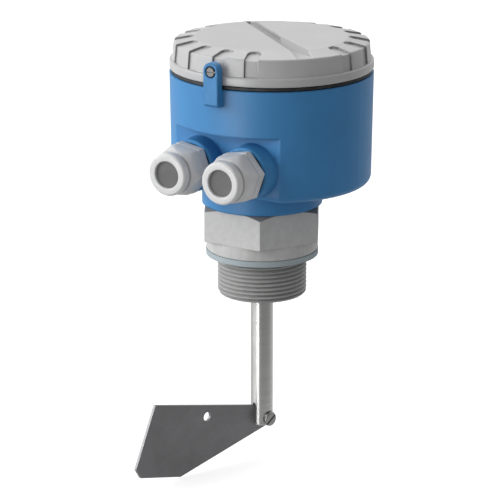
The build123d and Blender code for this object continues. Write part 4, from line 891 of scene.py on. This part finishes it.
@dataclass
class VesselPlug:
    """The grey plug that screws into the vessel: thread, collar, hexagon and spigot."""

    thread_end: float = -21.4
    thread_radius: float = 23.9
    thread_pitch: float = 2.309
    thread_depth: float = 1.479
    thread_chamfer: float = 1.2
    neck_radius: float = 22.3
    collar_bottom: float = 3.3
    collar_radius: float = 29.8
    collar_edge: float = 0.8
    hexagon_bottom: float = 10.5
    hexagon_top: float = 28.8
    across_flats: float = 60.0
    corner_flat: float = 0.12
    chamfer: float = 2.3
    chamfer_angle: float = 30.0
    chamfer_blend: float = 0.2
    chamfer_end: float = 29.9
    spigot_radius: float = 22.0
    spigot_top: float = 50.8
    seal_out: float = 27.22
    seal_in: float = 24.78
    seal_floor: float = 26.36
    bearing_radius: float = 14.0
    middle_bore: float = 9.0
    mouth_radius: float = 18.0
    lower_pocket: float = -5.9
    upper_pocket: float = 41.2
    clip_low: float = 49.2
    clip_width: float = 1.0
    clip_depth: float = 0.7

    # Columns and rows; the run-out's and the chamfer's as (first, last, number)
    columns: int = 360
    thread_rows: int = 112
    runout: tuple[float, float, int] = (0.15, 1.6, 5)
    chamfer_rows: tuple[float, float, int] = (0.02, 2.6, 12)
    flat_rows: tuple[float, ...] = (3.4, 5.0, 8.0, 14.0, 18.27)

    # Painted shade: least and most in the thread, below its crest and within (millimetres under
    # the crest, height); painted shadow on the hexagon, from (near the cone, over, under the
    # chamfer)
    thread_shade: Pair = (0.3, 0.75)
    crest: float = 0.3
    thread_zone: Pair = (2.0, 1.0)
    ledge_zone: Triple = (0.5, 0.4, 0.3)
    ledge_shadow: float = 0.8

    def thread(self, angle: Array, height: Array) -> Array:
        """Radius of the right-hand 55 degree pipe thread.

        Formula: a triangle wave of the phase height / pitch less angle / full turn,
        scaled to the sharp thread's height and softly cut off at the real depth, about
        the pitch radius; then kept inside the end's chamfer cone and faded into the
        neck.

        Args:
            angle: round the axis.
            height: along it.

        Returns:
            The radius at each point.
        """
        phase = height / self.thread_pitch - angle / FULL_TURN
        triangle = 4 * np.abs(phase - np.floor(phase) - 0.5) - 1
        limit = self.thread_depth / 2
        wave = SHARP_55 * self.thread_pitch / 2 * triangle
        hardness = 6
        wave = wave / (1 + np.abs(wave / limit) ** hardness) ** (1 / hardness)
        form = self.thread_radius - limit + wave
        cone = self.thread_radius - self.thread_chamfer + (height - self.thread_end)
        return np.minimum(form, np.maximum(cone, 0))

    def hexagon(self, angle: Array, height: Array) -> Array:
        """Radius of the hexagon: the flats with flattened corners, softly cut by the cone."""
        corner = self.across_flats / math.sqrt(3) - self.corner_flat
        return soft_min(np.minimum(hexagon_flats(angle, self.across_flats), corner),
                        self.cone(height), self.chamfer_blend)

    def cone(self, height: Array) -> Array:
        """Radius of the cone that takes the hexagon's upper corners off, the chamfer below."""
        slope = math.tan(math.radians(self.chamfer_angle))
        return (self.across_flats / math.sqrt(3) - self.chamfer / slope
                + (self.hexagon_top - height) / slope)

    def painted_shade(self, grid: Array) -> Array:
        """Painted shade over the thread, most in its roots, and painted shadow on the hexagon's
        chamfer and ledge.

        Formula: smooth steps of the depth under the crests and of the distance to the
        chamfer's cone, each kept to a range of radius and height.

        Args:
            grid: the plug's points.

        Returns:
            A number from 0 to 1 for each point.
        """
        reach = np.hypot(grid[..., 0], grid[..., 1])
        height = grid[..., 2]
        # Painted shade over the whole thread, and more in its roots.
        least, most = self.thread_shade
        depth = (self.thread_radius - self.crest - reach) / self.thread_depth
        roots = least + (most - least) * smooth_step(depth)
        below, above = self.thread_zone
        roots = roots * (reach > self.thread_radius - below) * (height < above)
        near, fade, low = self.ledge_zone
        # Painted shadow on the hexagon's upper chamfer and ledge under the housing.
        ledge = (reach > self.spigot_radius) * (height > self.hexagon_top - self.chamfer - low)
        ledge = self.ledge_shadow * ledge * smooth_step((reach - self.cone(height) + near) / fade)
        return np.maximum(roots, ledge)

    def piece(self, wardrobe: Wardrobe) -> None:
        """Builds the plug as one closed grid: outside, top, bore and bottom, row by row.

        Args:
            wardrobe: maker of its finish.
        """
        angle = np.linspace(0, FULL_TURN, self.columns, endpoint=False)[None]

        def spun(radius: Array, height: Array) -> Array:
            """Rows of radius and height at every angle."""
            return np.stack([radius * np.cos(angle), radius * np.sin(angle),
                             height + 0 * angle], -1)

        rows = np.linspace(self.thread_end, 0.0, self.thread_rows)[:, None]
        runout = np.linspace(*self.runout)[:, None]
        fade = np.minimum(self.thread(angle, runout), self.thread_radius - runout)
        fade = fade + (self.neck_radius - fade) * smooth_step(runout / self.runout[1])
        hex_rows = np.concatenate([np.linspace(*self.chamfer_rows), self.flat_rows])
        hex_rows = (self.hexagon_top - hex_rows)[::-1, None]
        collar = rounded([(self.neck_radius, self.collar_bottom, 0.2),
                          (self.collar_radius, self.collar_bottom, self.collar_edge),
                          (self.collar_radius, self.hexagon_bottom, 0)], 5)
        high, bearing = self.hexagon_top, self.bearing_radius
        clip_radius, clip_top = bearing + self.clip_depth, self.clip_low + self.clip_width
        top = rounded([
            (self.chamfer_end, high, 0), (self.seal_out, high, 0.15),
            (self.seal_out, self.seal_floor, 0), (self.seal_in, self.seal_floor, 0),
            (self.seal_in, high, 0.15), (self.spigot_radius, high, 0.4),
            (self.spigot_radius, self.spigot_top, 0.6), (bearing, self.spigot_top, 0.4),
            (bearing, clip_top, 0), (clip_radius, clip_top, 0), (clip_radius, self.clip_low, 0),
            (bearing, self.clip_low, 0), (bearing, self.upper_pocket, 0),
            (self.middle_bore, self.upper_pocket, 0), (self.middle_bore, self.lower_pocket, 0),
            (bearing, self.lower_pocket, 0), (bearing, self.thread_end, 0.4),
            (self.mouth_radius, self.thread_end, 0)], 3)
        grid = np.concatenate([spun(self.thread(angle, rows), rows),
                               spun(np.maximum(fade, self.neck_radius), runout),
                               spun(collar[:, :1], collar[:, 1:]),
                               spun(self.hexagon(angle, hex_rows), hex_rows),
                               spun(top[:, :1], top[:, 1:])])
        shells = Shells()
        shells.add(grid, closed_rows=True, shade_paint=self.painted_shade(grid))
        wardrobe.dress_piece(shells.build("vessel_plug", 38), "grey_nylon", "base",
                             "process_connection")


@dataclass
class Gland:
    """One cable gland on its boss: clamping nut with hexagon, groove and rounded nose."""

    side: int
    boss_x: float = 16.2
    boss_face: float = -44.0
    axis_z: float = 55.1
    turn: float = 10.0
    across_flats: float = 24.0
    nut_start: float = 6.3
    nut_end: float = 16.5
    nose_start: float = 17.9
    nose_end: float = 22.5
    groove_radius: float = 9.7
    nose_radius: float = 11.2
    groove_lip: float = 0.9
    mouth_radius: float = 7.1
    seat_radius: float = 9.35
    seat_cone: Pair = (15.3, 17.3)
    back_radius: float = 10.4
    corner_flat: float = 0.1
    front: float = 0.15
    taper: float = 0.38
    back: float = 0.4
    back_taper: float = 2.0
    blends: Triple = (0.35, 0.1, 0.2)
    columns: int = 144
    hexagon_rows: tuple[float, ...] = (0.0, 0.12, 0.3, 0.55, 1.2, 3.0, 5.0, 7.0, 8.4, 9.0, 9.3,
                                       9.6, 9.85, 10.1, 10.2)

    def laid(self, radius: Array, angle: Array, reach: Array) -> Array:
        """Turns gland coordinates into the part's frame.

        Formula: the angle is advanced by the gland's own turn, the gland's axis becomes
        -Y, its plan X stays X and its plan Y becomes Z.

        Args:
            radius: from the gland's axis.
            angle: round it.
            reach: distance from the boss face.

        Returns:
            Points in millimetres.
        """
        turned = angle + math.radians(self.side * self.turn)
        radius = radius + 0 * angle
        return np.stack([self.side * self.boss_x + radius * np.cos(turned),
                         self.boss_face - reach + 0 * angle,
                         self.axis_z + radius * np.sin(turned)], -1)

    def hexagon(self, angle: Array, reach: Array) -> Array:
        """Radius of the nut's hexagon with softened corners and coned ends.

        Formula: the sharp hexagon, softly blended with a corner circle, a long cone at
        the front and a short steep one at the back.

        Args:
            angle: round the axis.
            reach: distance from the boss face.

        Returns:
            The radius at each point.
        """
        corner = self.across_flats / math.sqrt(3)
        flats = hexagon_flats(angle, self.across_flats)
        at_corners, at_ends, at_cones = self.blends
        flats = soft_min(flats, np.full_like(flats, corner - self.corner_flat), at_corners)
        front = self.nose_radius + self.front + (self.nut_end - reach) * self.taper
        back = corner - self.back + (reach - self.nut_start) * self.back_taper
        return soft_min(flats + 0 * reach, soft_min(front, back, at_ends) + 0 * angle, at_cones)

    def piece(self, wardrobe: Wardrobe) -> None:
        """Builds the nut's closed surface: hexagon, groove, nose, mouth and seat.

        Args:
            wardrobe: maker of its finish.
        """
        name = "left" if self.side < 0 else "right"
        angle = np.linspace(0, FULL_TURN, self.columns, endpoint=False)[None]
        steps = np.array(self.hexagon_rows)
        reach = (self.nut_start + steps / steps[-1] * (self.nut_end - self.nut_start))[:, None]
        groove, mouth, seat = self.groove_radius, self.mouth_radius, self.seat_radius
        nose = rounded([
            (groove + self.groove_lip, self.nut_end, 0.2), (groove, self.nut_end, 0.2),
            (groove, self.nose_start, 0.2), (self.nose_radius, self.nose_start, 0.35),
            (self.nose_radius, self.nose_end, 1.5), (mouth, self.nose_end, 0.6),
            (mouth, self.seat_cone[1], 0), (seat, self.seat_cone[0], 0),
            (seat, self.nut_start, 0.3), (self.back_radius, self.nut_start, 0)], 6)
        grid = np.concatenate([self.laid(self.hexagon(angle, reach), angle, reach),
                               self.laid(nose[:, :1], angle, nose[:, 1:])])
        shells = Shells()
        shells.add(grid, closed_rows=True)
        piece = shells.build(f"{name}_clamping_nut", 38)
        wardrobe.dress_piece(piece, "gland_plastic", "base", f"{name}_gland_nut")


@dataclass(frozen=True)
class Lamp:
    """A rectangular soft light aimed at the object, in metres, degrees and watts."""

    name: str
    azimuth: float
    elevation: float
    distance: float
    size: Pair
    power: float
    shine_only: bool = False


LAMPS = (Lamp("key", -46, 20, 1.6, (1.8, 1.0), 27.0),
         Lamp("top", 205, 52, 1.5, (1.4, 1.0), 8.0),
         Lamp("strip", -9, -4, 0.8, (0.3, 0.14), 3.2, shine_only=True))


@dataclass
class Studio:
    """White studio in metres: floor, lights, surroundings and the photograph's camera."""

    azimuth: float = 32.23
    elevation: float = 16.61
    distance: float = 1.3
    lens: float = 174.3
    sensor: float = 36.0
    clip_end: float = 20.0
    aim: Triple = (-0.00763, 0.0, -0.0001)
    lamp_aim: Triple = (0.0, 0.0, 0.02)

    # The room's light, and how its reflection darkens towards one azimuth: (start of
    # the fall, end, brightness before, brightness after)
    ambient: float = 0.47
    dark_side: float = 60.0
    room_fall: Four = (0.0, 0.7, 1.0, 0.25)

    # Floor, with its glow to the camera and in reflections as the room's fall is given
    floor_gap: float = 0.0006
    floor_reach: float = 6.0
    floor_tone: float = 0.45
    floor_glow: Four = (0.2, 2.2, 0.76, 0.95)
    floor_fall: Four = (0.0, 0.25, 0.45, 0.0)

    @staticmethod
    def direction(azimuth: float, elevation: float) -> Vector:
        """Unit vector from the object towards an azimuth and elevation in degrees."""
        a, e = math.radians(azimuth), math.radians(elevation)
        return Vector((math.sin(a) * math.cos(e), -math.cos(a) * math.cos(e), math.sin(e)))

    @staticmethod
    def place(item: bpy.types.Object, aim: Triple, away: Vector, distance: float) -> None:
        """Links a camera or lamp at a distance from its aim and turns it towards that.

        Args:
            item: the camera or lamp.
            aim: the point that it looks at.
            away: unit vector from there to it.
            distance: how far away it stands.
        """
        item.location = Vector(aim) + away * distance
        item.rotation_euler = (-away).to_track_quat("-Z", "Y").to_euler()
        bpy.context.scene.collection.objects.link(item)

    def camera(self) -> None:
        """Places the camera as the photograph's was."""
        data = bpy.data.cameras.new("camera")
        data.lens = self.lens
        data.sensor_width = self.sensor
        data.clip_end = self.clip_end
        camera = bpy.data.objects.new("camera", data)
        self.place(camera, self.aim, self.direction(self.azimuth, self.elevation), self.distance)
        bpy.context.scene.camera = camera

    def light(self, lamp: Lamp) -> None:
        """Places a lamp, which the camera never sees.

        Args:
            lamp: its settings.
        """
        data = bpy.data.lights.new(lamp.name, "AREA")
        data.shape = "RECTANGLE"
        data.size, data.size_y = lamp.size
        data.energy = lamp.power
        item = bpy.data.objects.new(lamp.name, data)
        item.visible_diffuse = not lamp.shine_only
        item.visible_camera = False
        self.place(item, self.lamp_aim, self.direction(lamp.azimuth, lamp.elevation),
                   lamp.distance)

    def darkened(self, graph: Graph, vector: Socket, fall: Four) -> Socket:
        """Brightness by how far a place or direction lies towards the dark side."""
        side = tuple(self.direction(self.dark_side, 0.0))
        return graph.ramp(graph.dot(vector, side), *fall, shape="SMOOTHSTEP")

    def surroundings(self) -> None:
        """White to the camera, white with a dark side to reflections, else plain ambient light."""
        world = bpy.data.worlds.new("studio")
        graph = Graph(world)
        path = graph.add("ShaderNodeLightPath", {}).outputs
        direction = graph.places["Generated"]
        ambient, mirrored, seen = (
            graph.add("ShaderNodeBackground", {"Color": WHITE, "Strength": strength}).outputs[0]
            for strength in (self.ambient, self.darkened(graph, direction, self.room_fall), 1.0))
        shown = graph.join("MAXIMUM", path["Is Camera Ray"], path["Is Transmission Ray"])
        room = graph.choose(path["Is Glossy Ray"], ambient, mirrored)
        graph.add("ShaderNodeOutputWorld", {"Surface": graph.choose(shown, room, seen)})
        bpy.context.scene.world = world

    def floor_white(self) -> Material:
        """Matt pale floor whose glow clips it to white in the picture but for the shadow.

        Returns:
            The material.
        """
        material = bpy.data.materials.new("floor_white")
        graph = Graph(material)
        path = graph.add("ShaderNodeLightPath", {}).outputs
        place = graph.places["Object"]
        away = graph.add("ShaderNodeVectorMath", {0: place}, operation="LENGTH").outputs["Value"]
        seen = graph.times(path["Is Camera Ray"], graph.ramp(away, *self.floor_glow))
        mirrored = graph.times(path["Is Glossy Ray"], self.darkened(graph, place, self.floor_fall))
        glow = graph.add("ShaderNodeEmission", {"Strength": graph.plus(seen, mirrored)})
        tone = (self.floor_tone,) * 3 + (1.0,)
        matt = graph.add("ShaderNodeBsdfDiffuse", {"Color": tone})
        both = graph.add("ShaderNodeAddShader", {0: matt.outputs[0], 1: glow.outputs[0]})
        graph.add("ShaderNodeOutputMaterial", {"Surface": both.outputs[0]})
        return material

    def floor(self) -> None:
        """Lays the floor just under the paddle."""
        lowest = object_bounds()[0][2] - self.floor_gap
        reach = self.floor_reach
        sides = ((-reach, -reach), (reach, -reach), (reach, reach), (-reach, reach))
        mesh = bpy.data.meshes.new("studio_floor")
        mesh.from_pydata([(*side, lowest) for side in sides], [], [(0, 1, 2, 3)])
        mesh.materials.append(self.floor_white())
        floor = bpy.data.objects.new("studio_floor", mesh)
        bpy.context.scene.collection.objects.link(floor)
        floor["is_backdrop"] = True

    def build(self) -> None:
        """Sets up camera, lights, surroundings and floor."""
        bpy.context.scene.view_settings.view_transform = "Standard"
        self.camera()
        for lamp in LAMPS:
            self.light(lamp)
        self.surroundings()
        self.floor()
        LOG.info("studio ready")


def main() -> None:
    """Builds every sub-assembly, dresses the carried solids and sets up the studio."""
    logging.basicConfig(level=logging.INFO, format="%(name)s: %(message)s")
    wardrobe = Wardrobe()
    Cover().piece(wardrobe)
    VesselPlug().piece(wardrobe)
    for side in (-1, 1):
        Gland(side).piece(wardrobe)
    replaced = {"cover", "process_connection", "left_gland_nut", "right_gland_nut"}
    for row in frame["record"]["subparts"]:
        node = row["node"]
        if node not in replaced:
            wardrobe.dress_node(node, SCREW_FINISHES.get(node, row["material_slot"]))
    Studio().build()


if __name__ == "__main__":
    main()
